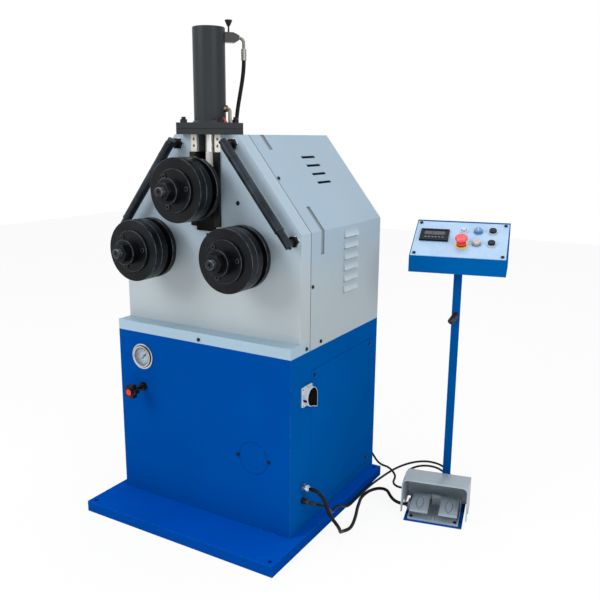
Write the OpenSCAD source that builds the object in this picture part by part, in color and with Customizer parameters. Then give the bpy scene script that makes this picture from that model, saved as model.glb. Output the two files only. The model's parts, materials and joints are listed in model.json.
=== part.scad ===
// Hydraulic angle roll bender. Three grooved rolls stand on the front of a thick steel plate.
// A press cylinder moves the upper roll; a geared motor turns the two lower rolls.
// A cabinet carries the machine, and a console with a foot switch stands beside it.

/* [Base plate and cabinet] */
// Width of the base plate
plate_w = 725; // [690:5:900]
// Depth of the base plate
plate_d = 744; // [680:2:900]
// Thickness of the base plate
plate_t = 35; // [20:1:50]
// Distance of the floor bolt holes from the plate's edges
bolt_inset = 20; // [14:1:24]
// Diameter of the floor bolt holes
bolt_hole_d = 14; // [10:1:18]
// Width of the cabinet
cab_w = 660; // [620:2:680]
// Depth of the cabinet
cab_d = 590; // [560:2:620]
// Height of the cabinet
cab_h = 563; // [540:1:640]
// Gap from the cabinet's rear wall to the plate's rear edge
cab_rear_gap = 4; // [0:1:30]
// Sheet thickness of the cabinet
sheet_t = 3; // [2:0.5:4]
// Diameter of the round inspection cover
inspect_d = 104; // [80:1:120]

/* [Machine frame] */
// Thickness of the bed plate that lies on the cabinet
bed_t = 33; // [20:1:50]
// Distance of the front plate behind the cabinet's front
front_setback = 54; // [40:1:70]
// Thickness of the front plate
front_t = 55; // [45:1:60]
// Space between the front plate and the rear plate, for the gears
bay = 51; // [48:1:70]
// Thickness of the rear plate
rear_t = 34; // [20:1:45]
// Height of the housing's upright sides over the bed plate
shoulder_h = 319; // [300:1:340]
// Height of the sloping sides
crown_h = 273; // [260:1:300]
// Width of the flat top of the housing
crown_w = 230; // [210:2:260]
// Sheet thickness of the housing cover
cover_t = 2; // [1.5:0.5:3]

/* [Rolls] */
// Distance between the axes of the two lower rolls
roll_pitch = 340; // [330:2:356]
// Height of the lower roll axes over the bed plate
lower_axis_h = 251; // [240:1:270]
// Height of the upper roll axis over the lower ones
upper_lift = 186; // [180:1:200]
// Diameter of the rolls
roll_d = 185; // [150:1:190]
// Diameter at the bottom of the rolls' groove
groove_d = 124; // [90:1:140]
// Width of the rear disc
rear_disc_w = 17; // [10:1:25]
// Width of the groove
groove_w = 22; // [15:1:30]
// Width of each of the two front discs
front_disc_w = 26.5; // [20:0.5:30]
// Diameter of the shafts under the rolls
shaft_d = 50; // [40:1:54]
// Diameter of the hub flange
hub_d = 124; // [110:1:140]
// Width across the flats of the shaft nut
nut_af = 50; // [46:1:60]

/* [Press cylinder and slide] */
// Outside diameter of the cylinder barrel
barrel_d = 94; // [86:1:100]
// Height of the barrel over its flange
barrel_h = 266; // [240:1:300]
// Wall of the barrel
barrel_wall = 10; // [7:1:14]
// Diameter of the piston rod
rod_d = 30; // [24:1:36]
// Width of the flange plates
flange_w = 172; // [150:1:190]
// Depth of the flange plates
flange_d = 100; // [90:1:112]
// Thickness of each flange plate
flange_t = 17; // [12:0.5:22]
// Width of the slot for the carriage
slot_w = 66; // [62:1:72]
// Width of the guide strips beside the slot
strip_w = 21; // [16:1:26]
// Way of the carriage up from where it stands
travel_up = 45; // [20:1:46]
// Way of the carriage down from where it stands
travel_down = 85; // [40:1:86]

/* [Gears] */
// Tooth size of the gears (module)
gear_module = 6; // [6:0.1:6.2]
// Teeth of each roll gear
gear_teeth = 44; // [44:1:45]
// Teeth of the drive pinion
pinion_teeth = 18; // [18:1:19]
// Face width of the gears
gear_w = 32; // [20:1:36]

/* [Console stand] */
// Place of the stand across the machine
stand_x = 650; // [600:1:760]
// Place of the stand's front edge along the machine
stand_y = 136; // [60:1:200]
// Turn of the stand about the upright
stand_turn = 13; // [0:1:20]
// Width of the pedestal plate
pedestal_w = 186; // [180:1:220]
// Depth of the pedestal plate
pedestal_d = 240; // [226:1:300]
// Thickness of the pedestal plate
pedestal_t = 5; // [4:0.5:8]
// Size of the square post
post_s = 25; // [24:1:32]
// Height of the console's underside
console_z = 803; // [700:1:950]
// Width of the console
console_w = 300; // [296:1:340]
// Depth of the console
console_d = 181; // [178:1:200]
// Height of the console's front
console_front_h = 51; // [46:1:60]
// Height of the console's rear
console_rear_h = 146; // [130:1:160]

/* [Foot switch] */
// Width of the foot switch hood
hood_w = 212; // [204:1:230]
// Depth of the foot switch hood
hood_d = 153; // [150:1:162]
// Height of the hood's front edge
hood_h = 133; // [120:1:150]
// Width of each pedal
pedal_w = 58; // [48:1:58]

/* [Hidden] */
$fn = 48;
// Cuts run this far past the faces that they open
over = 1;
// Round seats, running fits, sliding faces and covers keep these clearances
fit = 0.05;
slide_gap = 0.2;
clear_gap = 0.3;
seam = 1.2;

// Levels and planes of the machine
housing_w = cab_w;
cab_rear = plate_d / 2 - cab_rear_gap;
cab_front = cab_rear - cab_d;
cab_top = plate_t + cab_h;
cab_side = cab_w / 2;
bed_top = cab_top + bed_t;
front_y = cab_front + front_setback;
bay_y = front_y + front_t;
rear_y = bay_y + bay;
back_y = rear_y + rear_t;
shoulder_z = bed_top + shoulder_h;
crown_z = shoulder_z + crown_h;
lean = atan2((housing_w - crown_w) / 2, crown_h);
slope_l = norm([(housing_w - crown_w) / 2, crown_h]);
lower_x = roll_pitch / 2;
lower_z = bed_top + lower_axis_h;
upper_z = lower_z + upper_lift;

// Cabinet openings and what sits in them
rim_w = 25;
panel_front_in = 121;
panel_front = cab_front + panel_front_in;
panel_rear_in = 38;
panel_rear = cab_rear - panel_rear_in;
panel_low_in = 33;
panel_low = plate_t + panel_low_in;
panel_high_in = 63;
panel_high = cab_top - panel_high_in;
panel_screw_in = 20;
frame_lap = 15;
inspect_x = 199;
inspect_up = 231;
inspect_z = plate_t + inspect_up;
inspect_bar_w = 148;
inspect_bar_h = 30;
inspect_screw_x = 56;
gauge_in = 100;
gauge_x = -cab_side + gauge_in;
gauge_down = 79;
gauge_z = cab_top - gauge_down;
gauge_flange_d = 85;
gauge_flange_t = 4;
gauge_ring_d = 70;
gauge_ring_h = 8;
gauge_case_d = 66;
gauge_case_l = 34;
gauge_dial_d = 57;
gauge_dial_t = 1.5;
gauge_lens_t = 2;
gauge_stem_d = 14;
gauge_stem_l = 16;
needle_l = 22;
needle_tail = 9;
needle_w = 2.4;
needle_t = 1;
needle_hub_d = 7;
needle_pin_d = 3;
needle_turn = 135;
valve_in = 98;
valve_x = -cab_side + valve_in;
valve_down = 182;
valve_z = cab_top - valve_down;
valve_body_d = 22;
valve_body_l = 40;
valve_nut_d = 27;
valve_nut_h = 14;
valve_stem_d = 10;
valve_stem_l = 46;
knob_d = 50;
knob_t = 20;
knob_lobes = 5;
knob_lobe_d = 16;
knob_core_d = 34;
knob_cap_d = 23;
knob_cap_t = 4;
knob_bore_depth = 12;
inlet_ahead = 31;
inlet_y = panel_front - inlet_ahead;
inlet_down = 148;
inlet_z = cab_top - inlet_down;
inlet_flange_w = 62;
inlet_flange_h = 84;
inlet_flange_t = 6;
inlet_shroud_d = 60;
inlet_shroud_l = 32;
inlet_wall = 4;
inlet_flat = 25;
inlet_pin_d = 5;
inlet_pin_l = 22;
inlet_pin_ring = 28;
inlet_pins = 5;
inlet_notch_w = 12;
inlet_notch_h = 6;
inlet_body_d = 50;
inlet_body_l = 34;
gland_ahead = 48;
gland_y = panel_front - gland_ahead;
gland_nut_l = 8;
gland_cap_l = 10;
gland_tail_l = 8;
gland_nipple_l = 12;
gland_out = gland_nut_l + gland_cap_l + gland_tail_l;
conduit_d = 11;
conduit_gland_af = 24;
conduit_gland_up = 139;
conduit_gland_z = plate_t + conduit_gland_up;
cable_d = 8;
cable_gland_af = 19;
cable_gland_up = 94;
cable_gland_z = plate_t + cable_gland_up;
rear_gland_in = 70;
rear_gland_x = cab_side - rear_gland_in;
rear_gland_up = 60;
rear_gland_z = plate_t + rear_gland_up;

// Small screws of the sheet parts
screw_head_d = 11;
screw_head_h = 3;
screw_d = 6;
screw_l = 10;
screw_hex_share = 0.5;

// Hydraulic unit inside the cabinet
tank_w = 320;
tank_d = 300;
tank_h = 220;
tank_in = 210;
tank_x = -cab_side + tank_in;
tank_y = 90;
pump_d = 150;
pump_h = 210;
pump_flange_d = 180;
pump_flange_t = 12;
pump_cap_share = 0.7;
filler_d = 50;
filler_h = 30;

// Plates, tie bars and bushes of the frame
cover_gap = 1.5;
tie_d = 26;
tie_low_in = 30;
tie_x_low = housing_w / 2 - tie_low_in;
tie_low_up = 49;
tie_z_low = bed_top + tie_low_up;
tie_x_high = 120;
tie_high_down = 103;
tie_z_high = crown_z - tie_high_down;
tie_places = [[tie_x_low, tie_z_low], [tie_x_high, tie_z_high]];
tie_spigot_d = 16;
tie_spigot_l = 14;
journal_d = 60;
bush_d = 76;
bush_flange_d = 96;
bush_flange_t = 8;
gear_seat_d = 55;
tail_d = 45;
tail_bush_d = 60;
tail_l = 8;
pinion_shaft_d = 30;
pinion_bush_d = 42;
pinion_nose_l = 24;
lug_w = 24;
lug_t = 22;
side_screw_up = 160;
side_screw_z = bed_top + side_screw_up;
slope_screw_share = 0.55;
foot_screw_back = 66;
foot_screw_y = bay_y + foot_screw_back;
foot_screw_up = 15;
foot_screw_z = cab_top + foot_screw_up;
lip_screw_up = 12;
lip_screw_z = cab_top + lip_screw_up;
bed_screw_ahead = 20;
bed_screw_y = bay_y - bed_screw_ahead;
plate_hole_d = 9;
plate_hole_x = 114;
plate_hole_down = 40;
plate_hole_z = upper_z - plate_hole_down;
stop_hole_down = 140;
stop_hole_z = upper_z - stop_hole_down;
stop_hole_depth = 20;

// Slots and louvres of the cover
slot_back = 61;
slot_y = bay_y + slot_back;
slot_cut_w = 20;
slot_side_l = 70;
slot_slope_l = 86;
slot_crown_l = 55;
slot_top_l = 40;
slit_ahead = 264;
slit_y = cab_rear - slit_ahead;
slit_l = 86;
slit_h = 9;
slit_count = 4;
slit_pitch = 32.5;
slit_first_share = 0.25;
louvre_ahead = 272;
louvre_y = cab_rear - louvre_ahead;
louvre_l = 92;
louvre_h = 26;
louvre_out = 8;
louvre_count = 6;
louvre_pitch = 34.8;
louvre_top_down = 36;
louvre_top_z = shoulder_z - louvre_top_down;

// Roll stack, measured outwards from the front plate's face
stack_gap = 52;
hub_t = 8.5;
boss_d = 75;
boss_l = 29.5;
nut_h = 20;
thread_d = 33;
tip_l = 12;
edge = 1.5;
seat_end = 10;
collar_d = 76;
collar_gap = 0.5;
centre_hole_d = 8;
centre_hole_depth = 8;
hub_screws = 3;
hub_screw_ring = 100;
hub_screw_d = 13;
hub_screw_h = 4;
hub_screw_shank_d = 8;
hub_screw_turn = 8;
nut_chamfer = 3;
retainer_d = 68;
retainer_w = 12;
disc_back = stack_gap;
groove_back = disc_back + rear_disc_w;
groove_front = groove_back + groove_w;
disc_split = groove_front + front_disc_w;
disc_front = disc_split + front_disc_w;
hub_front = disc_front + hub_t;
boss_front = hub_front + boss_l;
nut_front = boss_front + nut_h;
tip_front = nut_front + tip_l;

// Carriage, strips and rod
carriage_front_t = 9;
crown_gap = 5;
carriage_flange_w = slot_w + 2 * strip_w;
carriage_up = crown_z - upper_z - travel_up - crown_gap;
carriage_flange_down = 115;
carriage_tongue_down = 128;
carriage_body_down = 38;
carriage_bush_wall = 4;
keeper_t = 11;
keeper_down = 18;
keeper_w = 110;
strip_t = 10;
strip_hole_d = 9;
strip_hole_pitch = 20;
strip_hole_first = 13;
strip_hole_groups = 2;
strip_group_pitch = 180;
slot_end_gap = 3;
slot_low = upper_z - carriage_body_down - travel_down - slot_end_gap;
carriage_top = upper_z + carriage_up;
cyl_ahead = 2.5;
cyl_y = (front_y + bay_y) / 2 - cyl_ahead;
flange_shift = 3.5;
flange_y = cyl_y - flange_shift;
rod_spigot_d = 20;
rod_spigot_l = 22;
flange_low = crown_z;
flange_mid = flange_low + flange_t;
flange_top = flange_mid + flange_t;
barrel_top = flange_top + barrel_h;
bore_d = barrel_d - 2 * barrel_wall;
weld = 6;
piston_h = 30;
piston_rest = 18;
piston_z = flange_top + travel_down + piston_rest;
flange_bolt_side = 18;
flange_bolt_x = flange_w / 2 - flange_bolt_side;
flange_bolt_end = 14;
flange_bolt_y = flange_d / 2 - flange_bolt_end;
flange_bolt_d = 12;
flange_bolt_af = 19;
flange_bolt_h = 8;

// Oil ports, their fittings and the hose, placed by the turn about the barrel
port_turn = 45;
port_down = 26;
port_z = barrel_top - port_down;
port_block_w = 26;
port_block_h = 28;
port_reach = 88;
port_nose_h = 12;
bleed_r = 58;
bleed_stem_d = 5;
bleed_stem_in = 8;
bleed_stem_l = 17;
bleed_head_d = 22;
bleed_head_h = 18;
bleed_foot_d = 8;
elbow_d = 9;
elbow_r = 8;
ferrule_d = 15;
ferrule_l = 32;
ferrule_down = 30;
ferrule_z = port_z - ferrule_down;
hose_d = 12;
hose_r = 102;
low_port_turn = 15;
low_port_up = 40;
low_port_z = flange_top + low_port_up;
low_port_d = 20;
low_port_reach = 62;
low_pipe_d = 10;
cap_turn = -12;
cap_r = 62;
cap_d = 9;
cap_h = 14;
cap_base_d = 14;
cap_base_h = 5;

// Guide bars and their pegs
bar_d = 28;
bar_end_d = 24;
bar_end_l = 40;
bar_past = 14;
bar_stand = 42;
bar_top_x = 100;
bar_top_down = 27;
bar_top_z = crown_z - bar_top_down;
bar_low_in = 22;
bar_low_x = housing_w / 2 - bar_low_in;
bar_low_down = 19;
bar_low_z = shoulder_z - bar_low_down;
peg_places = [[bar_top_x, bar_top_z], [bar_low_x, bar_low_z]];
peg_d = 18;
peg_hole_depth = 18;
peg_nut_af = 30;
peg_nut_h = 14;
bar_screw_d = 8;
bar_screw_h = 6;
bar_dx = bar_low_x - bar_top_x;
bar_dz = bar_low_z - bar_top_z;
bar_span = norm([bar_dx, bar_dz]);

// Gears
pressure = 20;
play = 0.4;
flank_steps = 5;
gear_r = gear_module * gear_teeth / 2;
pinion_r = gear_module * pinion_teeth / 2;
gear_centres = gear_r + pinion_r;
pinion_drop = sqrt(gear_centres * gear_centres - lower_x * lower_x);
pinion_z = lower_z - pinion_drop;
mesh_turn = atan2(pinion_drop, lower_x);
pinion_pitch_deg = 360 / pinion_teeth;
pinion_lag = (90 - mesh_turn) % pinion_pitch_deg;
gear_phase = -mesh_turn + pinion_lag * pinion_teeth / gear_teeth + 180 / gear_teeth;
root_share = 1.25;
gear_back_share = 0.78;
gear_y = bay_y + (bay - gear_w) * gear_back_share;
gear_web_depth = 8;
gear_rim = 22;
gear_hub_d = 90;
reducer_w = 170;
reducer_h = 190;
reducer_l = 140;
motor_d = 140;
motor_l = 190;
motor_ribs = 16;
motor_rib_t = 4;
motor_rib_h = 8;
motor_cap_l = 30;

// Stand
post_u = 20;
post_v = 200;
console_ahead = 80;
console_wall = 2;
console_slope = atan2(console_rear_h - console_front_h, console_d);
console_slope_l = norm([console_d, console_rear_h - console_front_h]);
face_t = 2;
face_side_in = 3;
face_w = console_w - 2 * face_side_in;
face_low = 3;
face_end_in = 14;
face_l = console_slope_l - face_end_in;
face_window_in = 18;
face_screw_in = 11;
grip_down = 152;
grip_z = console_z - grip_down;
grip_d = 22;
grip_l = 44;
grip_pin_d = 10;
grommet_d = 16;
grommet_t = 3;
grommet_low_z = 34;
grommet_high_z = 62;
button_left = 52;
button_right = 98;
button_low = 77;
button_high = 143;
stop_s = 6;
stop_t = 68;
lamp_s = 6;
lamp_t = 148;
display_s = -84;
display_t = 112;
display_w = 92;
display_h = 62;
display_rise = 7;
display_bezel = 6;
display_glass_in = 2;
display_body_in = 5;
display_body_l = 24;
bezel_d = 29;
bezel_h = 6;
bezel_bore_d = 24.4;
neck_d = 22;
neck_l = 26;
button_cap_d = 23.6;
button_cap_h = 7;
button_travel = 4;
button_rest = button_travel + edge;
button_stem_d = 14;
button_stem_l = 20;
button_edge = 1.2;
lamp_d = 22;
lamp_h = 9;
stop_ring_d = 42;
stop_ring_t = 2;
stop_neck_d = 30;
stop_neck_h = 13;
stop_bore_d = 20;
stop_head_d = 40;
stop_head_z = 18;
stop_head_h = 14;
stop_skirt_d = 27;
stop_skirt_h = 6;
stop_spigot_d = 12;
stop_spigot_l = 12;
stop_stem_l = 22;
stop_travel = 4;

// Foot switch, in the stand's own frame
hood_front = 12;
hood_rear = hood_front + hood_d;
hood_lip_l = 13;
hood_top_front = hood_front + hood_lip_l;
hood_rear_h = 105;
hood_tip_z = 23;
hood_wall = 3.5;
hood_corner = 18;
arch_v = 62;
arch_z = 5;
arch_r = 36;
tray_w = 162;
tray_front = 5;
tray_t = 6;
tray_rim_h = 10;
tray_rim_t = 4;
tray_screw_in = 11;
rib_t = 6;
lug_mid_t = 32;
lug_side_t = 4;
lug_v = 122;
lug_z = 36;
lug_r = 9;
pin_d = 6;
pedal_gap = 36;
pedal_front_v = 10;
pedal_front_z = 38;
pedal_back_v = 86;
pedal_back_z = 55;
pedal_t = 7;
pedal_barrel_d = 15;
pedal_leaf_r = 50;
pedal_leaf_h = 1;
pedal_leaf_w = 22;
switch_w = 30;
switch_l = 22;
switch_h = 10;
switch_v = 42;
boss_v = 75;
boss_z = 18;
boss_w = 30;
boss_h = 30;
boss_t = 8;

// Cable routes: points measured from each gland's end, the last of them at the far end. A cable
// leaves and enters straight, is eased into a curve, and shares out what a change of size adds
function on_stand_at(u, v, z) = [stand_x + u * cos(stand_turn) - v * sin(stand_turn),
    stand_y + u * sin(stand_turn) + v * cos(stand_turn), z];
function laid(from, out, way, to, back) = let(
    ways = len(way) - 1,
    spread = (to - from - way[ways]) / (ways + 1),
    p = concat([from, from + out, from + 2 * out],
        [for (i = [0:ways - 1]) from + way[i] + spread * (i + 1)],
        [to + 2 * back, to + back, to]),
    last = len(p) - 1)
    [for (i = [0:last]) i == 0 || i == last ? p[i] : (p[i - 1] + 4 * p[i] + p[i + 1]) / 6];
conduit_lead = 11;
cable_lead = 8;
rear_lead = 10;
conduit_way = [
    [41, -2, -6], [59, -7, -24], [67, -9, -46], [76, -7, -66], [87, 0, -84], [94, 10, -102],
    [94, 23, -120], [88, 37, -136], [82, 55, -148], [78, 75, -156], [80, 96, -163], [82, 118, -167],
    [79, 140, -168], [74, 161, -168], [68, 182, -168], [61, 204, -168], [54, 224, -168], [46, 245, -168],
    [40, 266, -167], [34, 288, -167], [27, 309, -168], [25, 330, -168], [30, 351, -162], [44, 367, -155],
    [63, 375, -148], [85, 374, -143], [105, 363, -141], [118, 347, -145], [139, 333, -153],
    [183, 336, -156]
];
cable_way = [
    [31, 5, -2], [44, 19, -10], [46, 36, -21], [40, 52, -37], [35, 73, -54], [28, 96, -70],
    [20, 119, -82], [13, 141, -87], [10, 159, -89], [11, 173, -91], [12, 187, -94], [13, 203, -103],
    [13, 221, -115], [13, 239, -122], [13, 259, -125], [12, 299, -125], [12, 344, -125], [12, 389, -125],
    [14, 434, -125], [19, 479, -125], [25, 524, -125], [32, 569, -125], [43, 611, -125], [60, 651, -125],
    [84, 687, -125], [116, 711, -125], [152, 715, -125], [186, 701, -125], [214, 675, -125],
    [234, 641, -124], [246, 605, -119], [253, 573, -109], [258, 547, -99], [265, 499, -95]
];
rear_way = [
    [5, 38, -6], [17, 51, -26], [26, 55, -47], [37, 59, -66], [49, 57, -80], [64, 51, -87], [82, 42, -88],
    [98, 34, -84], [115, 25, -82], [133, 14, -84], [148, 2, -89], [159, -14, -91], [164, -36, -91],
    [168, -57, -91], [181, -76, -91], [201, -84, -91], [222, -80, -91], [237, -65, -91], [241, -44, -91],
    [233, -24, -91], [212, -10, -91], [195, 6, -91], [184, 30, -91], [181, 58, -91], [188, 90, -91],
    [205, 118, -91], [230, 134, -91], [260, 136, -91], [286, 124, -91], [306, 102, -88], [322, 74, -79],
    [335, 44, -63], [345, 16, -46], [352, -6, -35], [361, -44, -33]
];
stand_out_u = [cos(stand_turn), sin(stand_turn), 0];
stand_out_v = [-sin(stand_turn), cos(stand_turn), 0];
grommet_v = post_v + post_s / 2 + grommet_t;
conduit_route = laid([cab_side + gland_out, gland_y, conduit_gland_z], [conduit_lead, 0, 0], conduit_way,
    on_stand_at(-tray_w / 2 - boss_t - gland_nut_l, boss_v, boss_z), -conduit_lead * stand_out_u);
cable_route = laid([cab_side + gland_out, gland_y, cable_gland_z], [cable_lead, 0, 0], cable_way,
    on_stand_at(post_u, grommet_v, grommet_low_z), cable_lead * stand_out_v);
rear_route = laid([rear_gland_x, cab_rear + gland_out, rear_gland_z], [0, rear_lead, 0], rear_way,
    on_stand_at(post_u, grommet_v, grommet_high_z), rear_lead * stand_out_v);
cord_sides = 8;
conduit_sides = 10;

// Paints and finishes
blue = "#0a4f9c";
pale_grey = "#b4c0ca";
black = "#2b2b2d";
bright = "#c8cacc";

// Shapes used again and again
module along_y(y, len) { translate([0, y + len, 0]) rotate([90, 0, 0]) linear_extrude(len) children(); }
module along_x(x, len) { translate([x, 0, 0]) rotate([90, 0, 90]) linear_extrude(len) children(); }
module rod_y(x, z, d, y, len) { translate([x, y, z]) rotate([-90, 0, 0]) cylinder(d = d, h = len); }
module rod_x(y, z, d, x, len) { translate([x, y, z]) rotate([0, 90, 0]) cylinder(d = d, h = len); }
module drill_y(x, z, d, y, len) { rod_y(x, z, d + 2 * fit, y - over, len + 2 * over); }
module drill_x(y, z, d, x, len) { rod_x(y, z, d + 2 * fit, x - over, len + 2 * over); }
module pillar(z, d, h) { translate([0, 0, z]) cylinder(d = d, h = h); }
module drill_z(z, d, h) { pillar(z - over, d + 2 * fit, h + 2 * over); }
module box(low, high) { translate(low) cube(high - low); }
module hexagon(af, h) { cylinder(d = af / cos(30), h = h, $fn = 6); }
module both_sides() {
    children();
    mirror([1, 0, 0]) children();
}
module turned(x, z) { translate([x, front_y, z]) rotate([90, 0, 0]) rotate_extrude() children(); }
module on_stand() { translate([stand_x, stand_y, 0]) rotate([0, 0, stand_turn]) children(); }
module on_face(s, t) {
    on_stand() translate([post_u, post_v - console_ahead, console_z + console_front_h])
        rotate([console_slope, 0, 0]) translate([s, t, face_t]) children();
}
module on_slope(along) {
    translate([housing_w / 2, 0, shoulder_z]) rotate([0, -lean, 0]) translate([0, 0, along]) children();
}

// Screw with a round socket head, standing on its seat at zero with the head up
module screw(head_d, head_h, d, l) {
    difference() {
        union() {
            cylinder(d = head_d, h = head_h);
            translate([0, 0, -l]) cylinder(d = d, h = l);
        }
        translate([0, 0, head_h / 2]) hexagon(head_d * screw_hex_share, head_h);
    }
}

module small_screw() { screw(screw_head_d, screw_head_h, screw_d, screw_l); }

// Outline of the housing from the front, drawn in by a wall, standing on a level
function outline(wall, foot) = let(
    side = housing_w / 2 - wall,
    turn_z = shoulder_z - wall * tan(lean / 2),
    top_x = crown_w / 2 - wall * tan(45 - lean / 2),
    top_z = crown_z - wall)
    [[-side, foot], [side, foot], [side, turn_z], [top_x, top_z], [-top_x, top_z], [-side, turn_z]];

// Involute gear outline: half the tooth's angle shrinks from the base circle to the tip
function involute(r, base) = let(t = sqrt(max(0, r * r / (base * base) - 1))) t * 180 / PI - atan(t);
function tooth_half(r, teeth, base, pitch_r) =
    90 / teeth - play / 4 / pitch_r * 180 / PI + involute(pitch_r, base) - involute(max(r, base), base);
function gear_outline(teeth, phase) = let(
    pitch_r = gear_module * teeth / 2,
    base = pitch_r * cos(pressure),
    root = pitch_r - gear_module * root_share,
    tip = pitch_r + gear_module,
    start = max(base, root),
    radii = concat([root], [for (i = [0:flank_steps]) start + (tip - start) * i / flank_steps]),
    last = len(radii) - 1)
    [for (k = [0:teeth - 1]) let(mid = phase + k * 360 / teeth) each concat(
        [for (i = [0:last]) let(a = mid - tooth_half(radii[i], teeth, base, pitch_r))
            radii[i] * [cos(a), sin(a)]],
        [for (i = [last:-1:0]) let(a = mid + tooth_half(radii[i], teeth, base, pitch_r))
            radii[i] * [cos(a), sin(a)]])];

// Tube along a route: the ring's first direction is carried from point to point
function unit(v) = v / norm(v);
function heading(p, i) = unit(p[min(i + 1, len(p) - 1)] - p[max(i - 1, 0)]);
function square_to(v, t) = unit(v - (v * t) * t);
function sides_of(p, i) = i == 0 ? [square_to([0, 0, 1], heading(p, 0))]
    : let(before = sides_of(p, i - 1)) concat(before, [square_to(before[i - 1], heading(p, i))]);
module tube(p, d, n) {
    side = sides_of(p, len(p) - 1);
    points = [for (i = [0:len(p) - 1]) let(a = side[i], b = cross(heading(p, i), a))
        for (k = [0:n - 1]) p[i] + d / 2 * (cos(360 * k / n) * a + sin(360 * k / n) * b)];
    walls = [for (i = [0:len(p) - 2]) for (k = [0:n - 1]) let(
        here = i * n + k, next = i * n + (k + 1) % n) each
        [[here, here + n, next + n], [here, next + n, next]]];
    ends = [[for (k = [0:n - 1]) k], [for (k = [n - 1:-1:0]) (len(p) - 1) * n + k]];
    polyhedron(points, concat(walls, ends), convexity = 6);
}

// Base and cabinet
module base_plate() color(blue) difference() {
    box([-plate_w / 2, -plate_d / 2, 0], [plate_w / 2, plate_d / 2, plate_t]);
    for (x = [-1, 1], y = [-1, 1])
        translate([x * (plate_w / 2 - bolt_inset), y * (plate_d / 2 - bolt_inset), -over])
            cylinder(d = bolt_hole_d, h = plate_t + 2 * over);
}

module panel_screw_places() for (y = [panel_front + panel_screw_in, panel_rear - panel_screw_in],
    z = [panel_low + panel_screw_in, panel_high - panel_screw_in])
    translate([cab_side, y, z]) rotate([0, 90, 0]) children();
module cabinet() color(blue) difference() {
    union() {
        difference() {
            box([-cab_side, cab_front, plate_t], [cab_side, cab_rear, cab_top]);
            box([-cab_side + sheet_t, cab_front + sheet_t, plate_t - over],
                [cab_side - sheet_t, cab_rear - sheet_t, cab_top - sheet_t]);
            box([-cab_side + rim_w, cab_front + rim_w, cab_top - sheet_t - over],
                [cab_side - rim_w, cab_rear - rim_w, cab_top + over]);
        }
        box([cab_side - 2 * sheet_t, panel_front - frame_lap, panel_low - frame_lap],
            [cab_side - sheet_t, panel_rear + frame_lap, panel_high + frame_lap]);
    }
    box([cab_side - sheet_t, panel_front, panel_low], [cab_side + over, panel_rear, panel_high]);
    box([cab_side - 2 * sheet_t - over, panel_front + frame_lap, panel_low + frame_lap],
        [cab_side, panel_rear - frame_lap, panel_high - frame_lap]);
    rod_y(inspect_x, inspect_z, inspect_d, cab_front - over, sheet_t + 2 * over);
    for (s = [-1, 1])
        drill_y(inspect_x + s * inspect_screw_x, inspect_z, screw_d, cab_front, sheet_t);
    rod_y(gauge_x, gauge_z, gauge_case_d + 2 * clear_gap, cab_front - over, sheet_t + 2 * over);
    drill_y(valve_x, valve_z, valve_body_d, cab_front, sheet_t);
    drill_x(inlet_y, inlet_z, inlet_body_d + clear_gap, cab_side - 2 * sheet_t, 2 * sheet_t);
    drill_x(gland_y, conduit_gland_z, conduit_d, cab_side - 2 * sheet_t, 2 * sheet_t);
    drill_x(gland_y, cable_gland_z, cable_d, cab_side - 2 * sheet_t, 2 * sheet_t);
    drill_y(rear_gland_x, rear_gland_z, cable_d, cab_rear - sheet_t, sheet_t);
    panel_screw_places() pillar(-2 * sheet_t - over, screw_d + 2 * fit, 2 * sheet_t);
}

module side_panel() color(blue) difference() {
    box([cab_side - sheet_t, panel_front + seam, panel_low + seam],
        [cab_side, panel_rear - seam, panel_high - seam]);
    panel_screw_places() drill_z(-sheet_t, screw_d, sheet_t);
}

module inspection_cover() color(blue) difference() {
    union() {
        rod_y(inspect_x, inspect_z, inspect_d - 2 * seam, cab_front, sheet_t);
        box([inspect_x - inspect_bar_w / 2, cab_front + sheet_t, inspect_z - inspect_bar_h / 2],
            [inspect_x + inspect_bar_w / 2, cab_front + 2 * sheet_t, inspect_z + inspect_bar_h / 2]);
    }
    for (s = [-1, 1])
        drill_y(inspect_x + s * inspect_screw_x, inspect_z, screw_d, cab_front + sheet_t, sheet_t);
}

module fasteners() color(black) {
    panel_screw_places() small_screw();
    for (s = [-1, 1])
        translate([inspect_x + s * inspect_screw_x, cab_front, inspect_z]) rotate([90, 0, 0]) small_screw();
    translate([0, cab_front, lip_screw_z]) rotate([90, 0, 0]) small_screw();
    both_sides() {
        translate([housing_w / 2, bay_y + lug_w / 2, side_screw_z]) rotate([0, 90, 0]) small_screw();
        on_slope(slope_l * slope_screw_share) translate([0, bay_y + lug_w / 2, 0])
            rotate([0, 90, 0]) small_screw();
        translate([housing_w / 2, foot_screw_y, foot_screw_z]) rotate([0, 90, 0]) small_screw();
        translate([cab_side, bed_screw_y, lip_screw_z]) rotate([0, 90, 0]) small_screw();
    }
    for (x = [-1, 1], y = [-1, 1])
        translate([x * flange_bolt_x, flange_y + y * flange_bolt_y, flange_top]) {
        hexagon(flange_bolt_af, flange_bolt_h);
        pillar(-2 * flange_t, flange_bolt_d, 2 * flange_t);
    }
    face_screw_places() screw(screw_head_d, screw_head_h, screw_d, face_t + console_wall);
    tray_screw_places() screw(screw_head_d, screw_head_h, screw_d, tray_t);
}

// Machine frame
module bed_plate() color(pale_grey) difference() {
    union() {
        box([-cab_side, cab_front, cab_top], [cab_side, bay_y, bed_top]);
        box([-housing_w / 2 + cover_t + cover_gap, bay_y - over, cab_top],
            [housing_w / 2 - cover_t - cover_gap, cab_rear - cover_t - cover_gap, bed_top]);
    }
    drill_y(0, lip_screw_z, screw_d, cab_front, screw_l);
    both_sides() {
        drill_x(bed_screw_y, lip_screw_z, screw_d, cab_side - screw_l, screw_l);
        drill_x(foot_screw_y, foot_screw_z, screw_d, housing_w / 2 - screw_l, screw_l);
    }
}

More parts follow.
